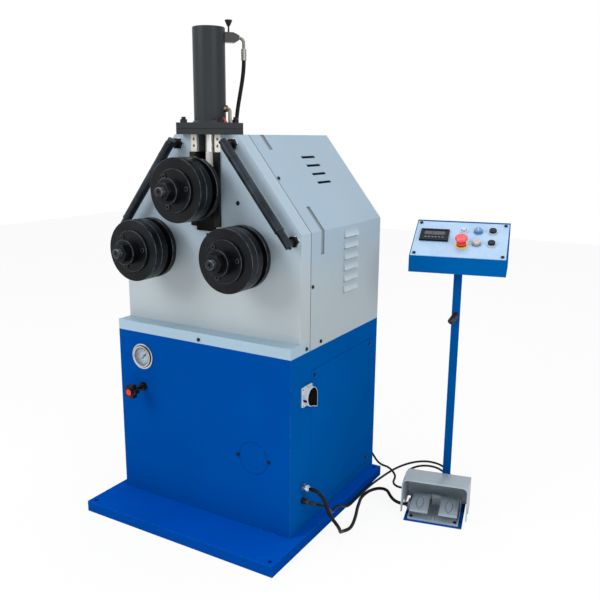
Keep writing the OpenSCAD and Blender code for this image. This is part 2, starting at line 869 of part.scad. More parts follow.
module front_plate() color(pale_grey) difference() {
    union() {
        along_y(front_y, front_t) polygon(outline(0, bed_top));
        both_sides() {
            box([housing_w / 2 - cover_t - clear_gap - lug_t, bay_y - over, side_screw_z - lug_w / 2],
                [housing_w / 2 - cover_t - clear_gap, bay_y + lug_w, side_screw_z + lug_w / 2]);
            on_slope(slope_l * slope_screw_share)
                box([-cover_t - clear_gap - lug_t, bay_y - over, -lug_w / 2],
                    [-cover_t - clear_gap, bay_y + lug_w, lug_w / 2]);
        }
    }
    box([-slot_w / 2, front_y - over, slot_low], [slot_w / 2, bay_y + over, crown_z + over]);
    box([-slot_w / 2 - strip_w, front_y - over, slot_low],
        [slot_w / 2 + strip_w, front_y + strip_t, crown_z + over]);
    both_sides() {
        drill_y(lower_x, lower_z, bush_d, front_y, front_t);
        for (p = peg_places) rod_y(p[0], p[1], peg_d + 2 * fit, front_y - over, peg_hole_depth + over);
        rod_y(plate_hole_x, plate_hole_z, plate_hole_d, front_y - over, stop_hole_depth + over);
        for (p = tie_places)
            rod_y(p[0], p[1], tie_spigot_d + 2 * fit, bay_y - tie_spigot_l, tie_spigot_l + over);
        rod_x(bay_y + lug_w / 2, side_screw_z, screw_d + 2 * fit, housing_w / 2 - lug_t, lug_t + over);
        on_slope(slope_l * slope_screw_share)
            rod_x(bay_y + lug_w / 2, 0, screw_d + 2 * fit, -lug_t, lug_t + over);
    }
    rod_y(0, stop_hole_z, plate_hole_d, front_y - over, stop_hole_depth + over);
    rod_y(0, pinion_z, pinion_bush_d + 2 * fit, bay_y - pinion_nose_l, pinion_nose_l + over);
}

module rear_plate() color(pale_grey) difference() {
    along_y(rear_y, rear_t) polygon(outline(cover_t + cover_gap, bed_top));
    both_sides() {
        drill_y(lower_x, lower_z, tail_bush_d, rear_y, rear_t);
        for (p = tie_places)
            rod_y(p[0], p[1], tie_spigot_d + 2 * fit, rear_y - over, tie_spigot_l + over);
    }
    drill_y(0, pinion_z, pinion_bush_d, rear_y, rear_t);
}

module tie_bars() color(bright) both_sides()
    for (p = tie_places) {
        rod_y(p[0], p[1], tie_d, bay_y, bay);
        rod_y(p[0], p[1], tie_spigot_d, bay_y - tie_spigot_l, bay + 2 * tie_spigot_l);
    }

// Pressed louvre, open below: its wedge stands out of the sheet at the origin's right
module louvre_skin() along_y(0, louvre_l)
    polygon([[-cover_t, 0], [louvre_out, 0], [0, louvre_h], [-cover_t, louvre_h]]);
module louvre_hollow() along_y(cover_t, louvre_l - 2 * cover_t)
    polygon([[-cover_t - over, -over], [louvre_out - cover_t, -over], [-cover_t, louvre_h - 2 * cover_t],
        [-cover_t - over, louvre_h - 2 * cover_t]]);
module louvre_places() for (i = [0:louvre_count - 1])
    translate([housing_w / 2, louvre_y, louvre_top_z - i * louvre_pitch]) children();

// Long slots that run round the shoulder and the crown edge of the cover, on both sides
module cover_slots() intersection() {
    difference() {
        along_y(slot_y, slot_cut_w) polygon(outline(-over, cab_top));
        along_y(slot_y - over, slot_cut_w + 2 * over) polygon(outline(cover_t + over, cab_top - over));
    }
    union() {
        box([-housing_w / 2 - 2 * over, slot_y - over, shoulder_z - slot_side_l],
            [housing_w / 2 + 2 * over, slot_y + slot_cut_w + over, shoulder_z + slot_slope_l * cos(lean)]);
        both_sides() box([crown_w / 2 - slot_top_l, slot_y - over, crown_z - slot_crown_l],
            [crown_w / 2 + slot_crown_l * sin(lean), slot_y + slot_cut_w + over, crown_z + 2 * over]);
    }
}

module housing_cover() color(pale_grey) difference() {
    union() {
        difference() {
            along_y(bay_y + seam, cab_rear - bay_y - seam) polygon(outline(0, cab_top));
            along_y(bay_y + seam - over, cab_rear - bay_y - seam - cover_t + over)
                polygon(outline(cover_t, cab_top - over));
        }
        both_sides() louvre_places() louvre_skin();
    }
    both_sides() {
        louvre_places() louvre_hollow();
        for (i = [0:slit_count - 1]) on_slope(slope_l * (1 - slit_first_share) - i * slit_pitch)
            box([-cover_t - over, slit_y, -slit_h / 2], [over, slit_y + slit_l, slit_h / 2]);
        drill_x(bay_y + lug_w / 2, side_screw_z, screw_d, housing_w / 2 - cover_t, cover_t);
        drill_x(foot_screw_y, foot_screw_z, screw_d, housing_w / 2 - cover_t, cover_t);
        on_slope(slope_l * slope_screw_share)
            drill_x(bay_y + lug_w / 2, 0, screw_d, -cover_t, cover_t);
    }
    cover_slots();
    port_plane() translate([hose_r - hose_lean(1), 0, crown_z - cover_t - over])
        cylinder(d = hose_d + 2 * clear_gap, h = cover_t + 2 * over);
}

module guide_strips() color(bright) both_sides() difference() {
    box([slot_w / 2, front_y, slot_low + clear_gap], [slot_w / 2 + strip_w, front_y + strip_t, crown_z]);
    for (g = [0:strip_hole_groups - 1], i = [0, 1])
        drill_y((slot_w + strip_w) / 2,
            crown_z - strip_hole_first - g * strip_group_pitch - i * strip_hole_pitch,
            strip_hole_d, front_y, strip_t);
}

// Flanged bush on a shaft axis: outside, bore, length, with an optional flange in front
module bush(x, z, d, bore, y, len, flange_dia, flange_len) difference() {
    union() {
        rod_y(x, z, d, y, len);
        if (flange_len > 0) rod_y(x, z, flange_dia, y - flange_len, flange_len);
    }
    drill_y(x, z, bore, y - flange_len, len + flange_len);
}

module shaft_bushes() color("#b08d57") {
    both_sides() {
        bush(lower_x, lower_z, bush_d, journal_d, front_y, front_t, bush_flange_d, bush_flange_t);
        bush(lower_x, lower_z, tail_bush_d, tail_d, rear_y, rear_t, 0, 0);
    }
    bush(0, pinion_z, pinion_bush_d, pinion_shaft_d, bay_y - pinion_nose_l, pinion_nose_l, 0, 0);
    bush(0, pinion_z, pinion_bush_d, pinion_shaft_d, rear_y, rear_t, 0, 0);
}

// Guide bars in front of the plate, on stand-off pegs
module along_bar() translate([bar_top_x, front_y - bar_stand, bar_top_z])
    rotate([0, atan2(bar_dx, bar_dz), 0]) children();

module guide_bars() color(black) both_sides() difference() {
    along_bar() {
        cylinder(d = bar_d, h = bar_span - bar_end_l);
        pillar(-bar_past, bar_end_d, bar_span + 2 * bar_past);
        pillar(bar_span + bar_past, bar_screw_d, bar_screw_h);
    }
    for (p = peg_places)
        rod_y(p[0], p[1], peg_d + 2 * fit, front_y - bar_stand, bar_d);
}

module guide_bar_pegs() color(black) both_sides()
    for (p = peg_places) {
        rod_y(p[0], p[1], peg_d, front_y - bar_stand, bar_stand + peg_hole_depth);
        translate([p[0], front_y, p[1]]) rotate([90, 0, 0]) hexagon(peg_nut_af, peg_nut_h);
    }

// Press cylinder
module flange_outline(z) difference() {
    box([-flange_w / 2, flange_y - flange_d / 2, z], [flange_w / 2, flange_y + flange_d / 2, z + flange_t]);
    for (x = [-1, 1], y = [-1, 1]) translate([x * flange_bolt_x, flange_y + y * flange_bolt_y, z - over])
        cylinder(d = flange_bolt_d + 2 * fit, h = flange_t + 2 * over);
}

module mount_flange() color(black) difference() {
    flange_outline(flange_low);
    translate([0, cyl_y, flange_low - over]) cylinder(d = rod_d + 2 * fit, h = flange_t + 2 * over);
}

module cylinder_barrel() color("#3c4146") difference() {
    union() {
        flange_outline(flange_mid);
        translate([0, cyl_y, 0]) rotate_extrude() polygon([[0, flange_top - over],
            [barrel_d / 2 + weld, flange_top - over], [barrel_d / 2 + weld, flange_top],
            [barrel_d / 2, flange_top + weld], [barrel_d / 2, barrel_top - edge],
            [barrel_d / 2 - edge, barrel_top], [0, barrel_top]]);
    }
    translate([0, cyl_y, flange_top]) cylinder(d = bore_d, h = barrel_h - barrel_wall);
    translate([0, cyl_y, flange_mid - over]) cylinder(d = rod_d + 2 * fit, h = flange_t + 2 * over);
}

module port_plane() translate([0, cyl_y, 0]) rotate([0, 0, port_turn]) children();
module low_port_plane() translate([0, cyl_y, 0]) rotate([0, 0, low_port_turn]) children();
module clear_of_barrel() difference() {
    children();
    pillar(flange_top, barrel_d + 2 * fit, barrel_h + over);
}

// Quarter bend in the port's plane: from level to straight down
module bend(r, z, bend_r, d) translate([r, 0, z - bend_r]) rotate([90, 0, 0])
    rotate_extrude(angle = 90) translate([bend_r, 0]) circle(d = d);

module hose_fittings() color(bright) {
    port_plane() {
        clear_of_barrel() difference() {
            translate([0, port_block_w / 2, 0]) rotate([90, 0, 0]) linear_extrude(port_block_w) polygon([
                [0, port_z - port_block_h / 2], [port_reach - port_nose_h, port_z - port_block_h / 2],
                [port_reach, port_z - port_nose_h / 2], [port_reach, port_z + port_nose_h / 2],
                [bleed_r + port_nose_h, port_z + port_block_h / 2], [0, port_z + port_block_h / 2]]);
            translate([bleed_r, 0, port_z]) cylinder(d = bleed_stem_d + 2 * fit, h = port_block_h);
        }
        bend(port_reach, port_z, hose_r - port_reach, elbow_d);
        translate([hose_r, 0, 0]) {
            pillar(ferrule_z, elbow_d, port_z - (hose_r - port_reach) - ferrule_z);
            pillar(ferrule_z - ferrule_l, ferrule_d, ferrule_l);
        }
    }
    low_port_plane() {
        clear_of_barrel() translate([0, 0, low_port_z]) rotate([0, 90, 0])
            cylinder(d = low_port_d, h = low_port_reach - elbow_r);
        bend(low_port_reach - elbow_r, low_port_z, elbow_r, low_pipe_d);
        translate([low_port_reach, 0, 0]) pillar(flange_top, low_pipe_d, low_port_z - elbow_r - flange_top);
    }
    translate([0, cyl_y, flange_top]) rotate([0, 0, cap_turn]) translate([cap_r, 0, 0]) {
        cylinder(d = cap_base_d, h = cap_base_h);
        cylinder(d = cap_d, h = cap_h);
    }
}

// The hose hangs from the ferrule and leans in to its hole in the housing's top
hose_steps = 14;
hose_in = 24;
hose_end_l = 30;
hose_tail = 8;
hose_top_z = ferrule_z - ferrule_l;
hose_low_z = crown_z - hose_tail;
function hose_lean(f) = hose_in * (3 * f * f - 2 * f * f * f);
module hydraulic_hose() color(black) port_plane()
    tube(concat(
        [for (i = [0:hose_steps]) let(f = i / hose_steps)
            [hose_r - hose_lean(f), 0, hose_top_z - f * (hose_top_z - hose_low_z - hose_end_l)]],
        [[hose_r - hose_in, 0, hose_low_z]]), hose_d, conduit_sides);

module bleed_knob() color(black) port_plane() translate([bleed_r, 0, port_z + port_block_h / 2]) {
    pillar(-bleed_stem_in, bleed_stem_d, bleed_stem_in + bleed_stem_l + over);
    translate([0, 0, bleed_stem_l]) rotate_extrude() polygon([[0, 0], [bleed_foot_d / 2, 0],
        [bleed_head_d / 2, bleed_head_h - 2 * edge], [bleed_head_d / 2, bleed_head_h - edge],
        [bleed_head_d / 2 - edge, bleed_head_h], [0, bleed_head_h]]);
}

module piston_rod() color(bright) translate([0, cyl_y, 0]) {
    pillar(carriage_top, rod_d, piston_z - carriage_top + over);
    pillar(carriage_top - rod_spigot_l, rod_spigot_d, rod_spigot_l + over);
    pillar(piston_z, bore_d - 2 * fit, piston_h);
}

// Carriage: body in the slot, flange and tongue over the strips, keeper plate behind, bush inside
carriage_bush_d = shaft_d + 2 * carriage_bush_wall;
carriage_face = front_y - slide_gap;
keeper_y = bay_y + slide_gap;
module carriage() color(black) {
    difference() {
        union() {
            box([-slot_w / 2 + slide_gap, carriage_face - over, upper_z - carriage_body_down],
                [slot_w / 2 - slide_gap, keeper_y, carriage_top]);
            box([-carriage_flange_w / 2, carriage_face - carriage_front_t, upper_z - carriage_flange_down],
                [carriage_flange_w / 2, carriage_face, carriage_top]);
            box([-slot_w / 2, carriage_face - carriage_front_t, upper_z - carriage_tongue_down],
                [slot_w / 2, carriage_face, upper_z]);
        }
        rod_y(0, upper_z, carriage_bush_d + 2 * fit, carriage_face - carriage_front_t - over, front_t * 2);
        translate([0, cyl_y, 0])
            pillar(carriage_top - rod_spigot_l, rod_spigot_d + 2 * fit, rod_spigot_l + over);
    }
    difference() {
        box([-keeper_w / 2, keeper_y, upper_z - keeper_down - carriage_bush_d / 2],
            [keeper_w / 2, keeper_y + keeper_t, carriage_top]);
        drill_y(0, upper_z, carriage_bush_d, keeper_y, keeper_t);
    }
    bush(0, upper_z, carriage_bush_d, shaft_d, carriage_face - carriage_front_t,
        carriage_front_t + 2 * slide_gap + front_t + keeper_t, 0, 0);
}

// Roll shafts: profiles from the threaded tip back to the tail, by radius and outward place
shaft_nose = [[0, tip_front], [thread_d / 2 - edge, tip_front], [thread_d / 2, tip_front - edge],
    [thread_d / 2, boss_front - seat_end], [shaft_d / 2, boss_front - seat_end], [shaft_d / 2, stack_gap],
    [collar_d / 2, stack_gap]];
lower_collar = bush_flange_t + collar_gap;
upper_collar = slide_gap + carriage_front_t + collar_gap;
upper_tail = -front_t - slide_gap - keeper_t - collar_gap;
module centre_hole(x, z) rod_y(x, z, centre_hole_d, front_y - tip_front - over, centre_hole_depth + over);
module retainer(x, z, d, place) difference() {
    rod_y(x, z, retainer_d, place, retainer_w);
    drill_y(x, z, d, place, retainer_w);
}
module lower_shaft() color("#4a4c50") {
    difference() {
        turned(lower_x, lower_z) polygon(concat(shaft_nose, [[collar_d / 2, lower_collar],
            [journal_d / 2, lower_collar], [journal_d / 2, -front_t], [gear_seat_d / 2, -front_t],
            [gear_seat_d / 2, -front_t - bay + collar_gap], [tail_d / 2, -front_t - bay + collar_gap],
            [tail_d / 2, -front_t - bay - rear_t - retainer_w - tail_l],
            [0, -front_t - bay - rear_t - retainer_w - tail_l]]));
        centre_hole(lower_x, lower_z);
    }
    retainer(lower_x, lower_z, tail_d, back_y + collar_gap);
}
module left_shaft() mirror([1, 0, 0]) lower_shaft();
module right_shaft() lower_shaft();
module upper_shaft() color("#4a4c50") {
    difference() {
        turned(0, upper_z) polygon(concat(shaft_nose, [[collar_d / 2, upper_collar],
            [shaft_d / 2, upper_collar], [shaft_d / 2, upper_tail - retainer_w],
            [0, upper_tail - retainer_w]]));
        centre_hole(0, upper_z);
    }
    retainer(0, upper_z, shaft_d, front_y - upper_tail);
}

// Roll set: rear disc, groove ring, two front discs, hub with its screws, and the nut
seat_r = shaft_d / 2 + fit;
thread_r = thread_d / 2 + fit;
module disc(d, low, high) polygon([[seat_r, low], [d / 2 - edge, low], [d / 2, low + edge],
    [d / 2, high - edge], [d / 2 - edge, high - fit], [seat_r, high - fit]]);
module roll_set(x, z) color(black) {
    turned(x, z) disc(roll_d, disc_back, groove_back);
    turned(x, z) disc(groove_d, groove_back, groove_front);
    turned(x, z) disc(roll_d, groove_front, disc_split);
    turned(x, z) disc(roll_d, disc_split, disc_front);
    difference() {
        turned(x, z) polygon([[seat_r, disc_front], [hub_d / 2, disc_front], [hub_d / 2, hub_front - edge],
            [hub_d / 2 - edge, hub_front - fit], [boss_d / 2, hub_front - fit],
            [boss_d / 2, boss_front - edge], [boss_d / 2 - edge, boss_front - fit],
            [thread_r, boss_front - fit],
            [thread_r, boss_front - seat_end + fit], [seat_r, boss_front - seat_end + fit]]);
        hub_screw_places(x, z) drill_z(-hub_t, hub_screw_shank_d, hub_t);
    }
    hub_screw_places(x, z) screw(hub_screw_d, hub_screw_h, hub_screw_shank_d, hub_t);
    translate([x, front_y - boss_front, z]) rotate([90, 0, 0]) difference() {
        intersection() {
            hexagon(nut_af, nut_h);
            rotate_extrude() polygon([[0, 0], [nut_af, 0],
                [nut_af, nut_h - nut_af / cos(30) / 2 + nut_af / 2 - nut_chamfer],
                [nut_af / 2 - nut_chamfer / 2, nut_h], [0, nut_h]]);
        }
        pillar(-over, thread_d + 2 * fit, nut_h + 2 * over);
    }
}
module hub_screw_places(x, z) for (i = [0:hub_screws - 1])
    translate([x, front_y - hub_front, z]) rotate([90, 0, 0])
        rotate([0, 0, hub_screw_turn + i * 360 / hub_screws]) translate([hub_screw_ring / 2, 0, 0])
            children();
module left_rolls() roll_set(-lower_x, lower_z);
module right_rolls() roll_set(lower_x, lower_z);
module upper_rolls() roll_set(0, upper_z);

// Gear train between the plates
module roll_gear() color("#8a8c90") difference() {
    along_y(gear_y, gear_w) polygon(gear_outline(gear_teeth, gear_phase));
    drill_y(0, 0, gear_seat_d, gear_y, gear_w);
    for (y = [gear_y - over, gear_y + gear_w - gear_web_depth]) difference() {
        rod_y(0, 0, 2 * (gear_r - gear_rim), y, gear_web_depth + over);
        rod_y(0, 0, gear_hub_d, y - over, gear_web_depth + 3 * over);
    }
}
module left_gear() translate([-lower_x, 0, lower_z]) roll_gear();
module right_gear() mirror([1, 0, 0]) left_gear();
module drive_pinion() color("#8a8c90") translate([0, 0, pinion_z]) {
    along_y(gear_y, gear_w) polygon(gear_outline(pinion_teeth, 90));
    rod_y(0, 0, pinion_shaft_d, bay_y - pinion_nose_l + collar_gap, pinion_nose_l + bay + rear_t);
}
module gear_motor() color("#5d6b78") translate([0, 0, pinion_z]) {
    difference() {
        box([-reducer_w / 2, back_y, -reducer_h / 2], [reducer_w / 2, back_y + reducer_l, reducer_h / 2]);
        rod_y(0, 0, pinion_bush_d, back_y - over, reducer_l / 2);
    }
    rod_y(0, 0, motor_d, back_y + reducer_l, motor_l);
    for (i = [0:motor_ribs - 1]) rotate([0, 360 * i / motor_ribs, 0])
        box([motor_d / 2 - motor_rib_h, back_y + reducer_l, -motor_rib_t / 2],
            [motor_d / 2 + motor_rib_h, back_y + reducer_l + motor_l - motor_cap_l, motor_rib_t / 2]);
}

module hydraulic_unit() color("#5d6b78") translate([tank_x, tank_y, plate_t]) {
    box([-tank_w / 2, -tank_d / 2, 0], [tank_w / 2, tank_d / 2, tank_h]);
    translate([0, 0, tank_h]) {
        cylinder(d = pump_flange_d, h = pump_flange_t);
        cylinder(d = pump_d, h = pump_h);
        cylinder(d = pump_d * pump_cap_share, h = pump_h + pump_flange_t);
        translate([tank_w / 2 - filler_d, tank_d / 2 - filler_d, 0]) cylinder(d = filler_d, h = filler_h);
    }
}

// Pressure gauge and relief valve
module at_gauge() translate([gauge_x, cab_front, gauge_z]) rotate([90, 0, 0]) children();
module gauge_case() at_gauge() {
    color(bright) difference() {
        union() {
            cylinder(d = gauge_flange_d, h = gauge_flange_t);
            cylinder(d = gauge_ring_d, h = gauge_ring_h);
            pillar(-gauge_case_l, gauge_case_d, gauge_case_l + over);
            pillar(-gauge_case_l - gauge_stem_l, gauge_stem_d, gauge_stem_l + over);
        }
        pillar(-gauge_ring_h, gauge_dial_d, 2 * gauge_ring_h + over);
    }
    color("white") difference() {
        pillar(-gauge_ring_h, gauge_dial_d - 2 * fit, gauge_dial_t);
        drill_z(-gauge_ring_h, needle_pin_d, gauge_dial_t);
    }
}
module gauge_lens() color("#dfe9ee", 0.4) at_gauge()
    pillar(gauge_ring_h - gauge_lens_t - edge, gauge_dial_d - 2 * fit, gauge_lens_t);
module gauge_needle() color(black) at_gauge() translate([0, 0, -gauge_ring_h + gauge_dial_t]) {
    translate([0, 0, clear_gap]) rotate([0, 0, needle_turn]) linear_extrude(needle_t) polygon([
        [-needle_w, -needle_tail], [needle_w, -needle_tail], [needle_w / 4, needle_l],
        [-needle_w / 4, needle_l]]);
    pillar(clear_gap, needle_hub_d, 2 * needle_t);
    pillar(-gauge_dial_t, needle_pin_d, gauge_dial_t + needle_t);
}

module at_valve() translate([valve_x, cab_front, valve_z]) rotate([90, 0, 0]) children();
module relief_valve() color(black) at_valve() difference() {
    union() {
        cylinder(d = valve_nut_d, h = valve_nut_h);
        pillar(-valve_body_l, valve_body_d, valve_body_l + over);
    }
    cylinder(d = valve_stem_d + 2 * fit, h = valve_nut_h + over);
}
module relief_knob() color(black) at_valve() translate([0, 0, valve_nut_h]) {
    pillar(-valve_nut_h + clear_gap, valve_stem_d, valve_nut_h + valve_stem_l - clear_gap);
    translate([0, 0, valve_stem_l - knob_bore_depth]) {
        cylinder(d = knob_core_d, h = knob_t);
        for (i = [0:knob_lobes - 1]) rotate([0, 0, 360 * i / knob_lobes])
            translate([(knob_d - knob_lobe_d) / 2, 0, 0]) cylinder(d = knob_lobe_d, h = knob_t - edge);
        pillar(knob_t, knob_cap_d, knob_cap_t);
    }
}

// Power inlet, round above and flat below, and the glands
module inlet_outline(wall) intersection() {
    circle(d = inlet_shroud_d - 2 * wall);
    translate([-inlet_shroud_d, -inlet_shroud_d / 2])
        square([inlet_shroud_d + inlet_flat - wall, inlet_shroud_d]);
}
module power_inlet() color("#c9ced1") translate([cab_side, inlet_y, inlet_z]) rotate([0, 90, 0]) {
    difference() {
        union() {
            translate([-inlet_flange_h / 2, -inlet_flange_w / 2, 0])
                cube([inlet_flange_h, inlet_flange_w, inlet_flange_t]);
            linear_extrude(inlet_flange_t + inlet_shroud_l) inlet_outline(0);
            pillar(-inlet_body_l, inlet_body_d, inlet_body_l + over);
        }
        translate([0, 0, inlet_flange_t]) linear_extrude(inlet_shroud_l + over) inlet_outline(inlet_wall);
        for (x = [-1, 1], y = [-1, 1])
            translate([x * (inlet_flange_h - inlet_notch_h) / 2 - inlet_notch_h, y * inlet_flange_w / 2
                - inlet_notch_w / 2, inlet_flange_t / 2])
                cube([2 * inlet_notch_h, inlet_notch_w, inlet_flange_t]);
    }
    for (i = [0:inlet_pins - 1]) rotate([0, 0, 360 * i / inlet_pins]) translate([inlet_pin_ring / 2, 0, 0])
        pillar(inlet_flange_t - over, inlet_pin_d, inlet_pin_l + over);
}

// Gland standing on a wall at zero: nipple, hexagon, round cap and a short tail round the cable
module gland(d, af) {
    pillar(-gland_nipple_l, d, gland_nipple_l + over);
    hexagon(af, gland_nut_l);
    cylinder(d = af, h = gland_nut_l + gland_cap_l);
    translate([0, 0, gland_nut_l + gland_cap_l]) cylinder(d1 = af, d2 = d + sheet_t, h = gland_tail_l);
}
module cable_glands() color(black) {
    translate([cab_side, gland_y, conduit_gland_z]) rotate([0, 90, 0]) gland(conduit_d, conduit_gland_af);
    translate([cab_side, gland_y, cable_gland_z]) rotate([0, 90, 0]) gland(cable_d, cable_gland_af);
    translate([rear_gland_x, cab_rear, rear_gland_z]) rotate([-90, 0, 0]) gland(cable_d, cable_gland_af);
    on_stand() for (z = [grommet_low_z, grommet_high_z]) translate([post_u, post_v + post_s / 2, z])
        rotate([-90, 0, 0]) cylinder(d1 = grommet_d, d2 = cable_d + sheet_t, h = grommet_t);
    on_stand() translate([-tray_w / 2 - boss_t, boss_v, boss_z]) rotate([0, -90, 0])
        cylinder(d1 = conduit_gland_af, d2 = conduit_d + sheet_t, h = gland_nut_l);
}
module conduit() color("#1f1f20") tube(conduit_route, conduit_d, conduit_sides);
module console_cable() color("#1f1f20") tube(cable_route, cable_d, cord_sides);
module rear_cable() color("#1f1f20") tube(rear_route, cable_d, cord_sides);

// Console stand
module pedestal_plate() color(blue) on_stand()
    box([-pedestal_w / 2, 0, 0], [pedestal_w / 2, pedestal_d, pedestal_t]);
module post() color(blue) on_stand() difference() {
    box([post_u - post_s / 2, post_v - post_s / 2, pedestal_t],
        [post_u + post_s / 2, post_v + post_s / 2, console_z]);
    rod_y(post_u, grip_z, grip_pin_d + 2 * fit, post_v - post_s / 2 - over, post_s / 2 + over);
}
module post_grip() color(black) on_stand() translate([post_u, post_v - post_s / 2, grip_z])
    rotate([90, 0, 0]) {
    rotate_extrude() polygon([[0, 0], [grip_d / 2 - edge, 0], [grip_d / 2, edge],
        [grip_d / 2, grip_l - 3 * edge], [grip_d / 2 - 3 * edge, grip_l], [0, grip_l]]);
    pillar(-post_s / 2, grip_pin_d, post_s / 2 + over);
}

console_v = post_v - console_ahead;
console_top = console_z + console_front_h;
module console_side(wall) {
    rear = console_v + console_d - wall;
    down = wall / cos(console_slope);
    along = wall * tan(console_slope);
    polygon([[console_v + wall, console_z + wall], [rear, console_z + wall],
        [rear, console_z + console_rear_h - down - along], [console_v + wall, console_top - down + along]]);
}
module face_screw_places()
    for (s = [-1, 1], t = [face_low + face_screw_in, face_low + face_l - face_screw_in])
        on_face(s * (face_w / 2 - face_screw_in), t) children();
module console_box() color(blue) difference() {
    on_stand() translate([post_u, 0, 0]) difference() {
        along_x(-console_w / 2, console_w) console_side(0);
        along_x(-console_w / 2 + console_wall, console_w - 2 * console_wall) console_side(console_wall);
    }
    on_face(0, 0)
        box([-face_w / 2 + face_window_in, face_low + face_window_in, -face_t - console_wall - over],
            [face_w / 2 - face_window_in, face_low + face_l - face_window_in, -face_t + over]);
    face_screw_places() drill_z(-face_t - console_wall, screw_d, console_wall);
}

button_places = [[button_left, button_high], [button_left, button_low], [button_right, button_high],
    [button_right, button_low]];
module console_panel() color("#b9d3ea") difference() {
    on_face(0, 0) box([-face_w / 2, face_low, -face_t], [face_w / 2, face_low + face_l, 0]);
    for (p = concat(button_places, [[stop_s, stop_t], [lamp_s, lamp_t]]))
        on_face(p[0], p[1]) drill_z(-face_t, neck_d, face_t);
    on_face(display_s, display_t) translate([0, 0, -face_t - over])
        linear_extrude(face_t + 2 * over) square([display_w - 2 * display_body_in + 2 * fit,
            display_h - 2 * display_body_in + 2 * fit], center = true);
    face_screw_places() drill_z(-face_t, screw_d, face_t);
}
module display() color(black) on_face(display_s, display_t) difference() {
    union() {
        linear_extrude(display_rise) square([display_w, display_h], center = true);
        translate([0, 0, -display_body_l]) linear_extrude(display_body_l)
            square([display_w - 2 * display_body_in, display_h - 2 * display_body_in], center = true);
    }
    translate([0, 0, display_rise - display_glass_in]) linear_extrude(display_glass_in + over)
        square([display_w - 2 * display_bezel, display_h - 2 * display_bezel], center = true);
}
module button_bezel() difference() {
    union() {
        cylinder(d = bezel_d, h = bezel_h);
        pillar(-neck_l, neck_d, neck_l + over);
    }
    pillar(clear_gap, bezel_bore_d, bezel_h);
    pillar(-neck_l - over, button_stem_d + 2 * fit, neck_l + bezel_h);
}
module panel_fittings() color("#cfd6da") {
    for (p = button_places) on_face(p[0], p[1]) button_bezel();
    on_face(stop_s, stop_t) difference() {
        union() {
            cylinder(d = stop_ring_d, h = stop_ring_t);
            cylinder(d = stop_neck_d, h = stop_neck_h);
            pillar(-neck_l, neck_d, neck_l + over);
        }
        drill_z(-neck_l, button_stem_d, neck_l + stop_neck_h);
        pillar(0, stop_bore_d + 2 * fit, stop_neck_h + over);
    }
    on_face(lamp_s, lamp_t) {
        cylinder(d = bezel_d, h = bezel_h / 2);
        pillar(-neck_l, neck_d, neck_l + over);
        rotate_extrude() polygon([[0, 0], [lamp_d / 2, 0], [lamp_d / 2, lamp_h / 2], [lamp_d / 3, lamp_h],
            [0, lamp_h]]);
    }
}
module push_button(place, tint) color(tint) on_face(place[0], place[1]) translate([0, 0, button_rest]) {
    rotate_extrude() polygon([[0, 0], [button_cap_d / 2, 0], [button_cap_d / 2, button_cap_h - button_edge],
        [button_cap_d / 2 - button_edge, button_cap_h], [0, button_cap_h]]);
    pillar(-button_stem_l, button_stem_d, button_stem_l + over);
}
module start_button() push_button(button_places[0], "#7fa3bf");
module stop_button() push_button(button_places[1], "#c3b4b4");
module up_button() push_button(button_places[2], black);
module down_button() push_button(button_places[3], black);
module estop_plunger() color(black) on_face(stop_s, stop_t) {
    pillar(stop_travel + clear_gap, stop_bore_d, stop_head_z - stop_travel - clear_gap);
    pillar(-stop_stem_l + stop_travel, button_stem_d, stop_stem_l + over);
    cylinder(d = stop_spigot_d, h = stop_head_z + stop_spigot_l);
}
module estop_head() color("#d8322c") on_face(stop_s, stop_t) translate([0, 0, stop_head_z]) difference() {
    rotate_extrude() polygon([[0, 0], [stop_skirt_d / 2, 0], [stop_skirt_d / 2, stop_skirt_h],
        [stop_head_d / 2 - edge, stop_skirt_h], [stop_head_d / 2, stop_skirt_h + edge],
        [stop_head_d / 2, stop_head_h - 2 * edge], [stop_head_d / 2 - 2 * edge, stop_head_h],
        [0, stop_head_h + edge]]);
    pillar(-over, stop_spigot_d + 2 * fit, stop_spigot_l + over + fit);
}

// Foot switch
floor_z = pedestal_t + tray_t;
module tray_screw_places() on_stand() for (s = [-1, 1])
    translate([s * (tray_w / 2 - tray_screw_in), tray_front + tray_screw_in, floor_z]) children();
module footswitch_base() color("#8d9aa2") difference() {
    on_stand() union() {
        box([-tray_w / 2, tray_front, pedestal_t], [tray_w / 2, hood_rear - hood_wall - clear_gap, floor_z]);
        for (s = [-1, 1]) {
            box([s * (tray_w - tray_rim_t) / 2 - tray_rim_t / 2, tray_front, pedestal_t],
                [s * (tray_w - tray_rim_t) / 2 + tray_rim_t / 2, lug_v + lug_r, pedestal_t + tray_rim_h]);
            along_x(s * (tray_w - lug_side_t) / 2 - lug_side_t / 2, lug_side_t) lug_side();
            box([s * (pedal_w + pedal_gap) / 2 - switch_w / 2, switch_v, floor_z - over],
                [s * (pedal_w + pedal_gap) / 2 + switch_w / 2, switch_v + switch_l, floor_z + switch_h]);
        }
        box([-rib_t / 2, tray_front, pedestal_t], [rib_t / 2, lug_v - lug_r, pedestal_t + tray_rim_h]);
        along_x(-lug_mid_t / 2, lug_mid_t) lug_side();
        box([-tray_w / 2 - boss_t, boss_v - boss_w / 2, pedestal_t],
            [-tray_w / 2 + tray_rim_t, boss_v + boss_w / 2, pedestal_t + boss_h]);
    }
    on_stand() drill_x(lug_v, lug_z, pin_d, -tray_w / 2, tray_w);
    tray_screw_places() drill_z(-tray_t, screw_d, tray_t);
}
module lug_side() {
    translate([lug_v, lug_z]) circle(r = lug_r);
    translate([lug_v - lug_r, pedestal_t]) square([2 * lug_r, lug_z - pedestal_t]);
}

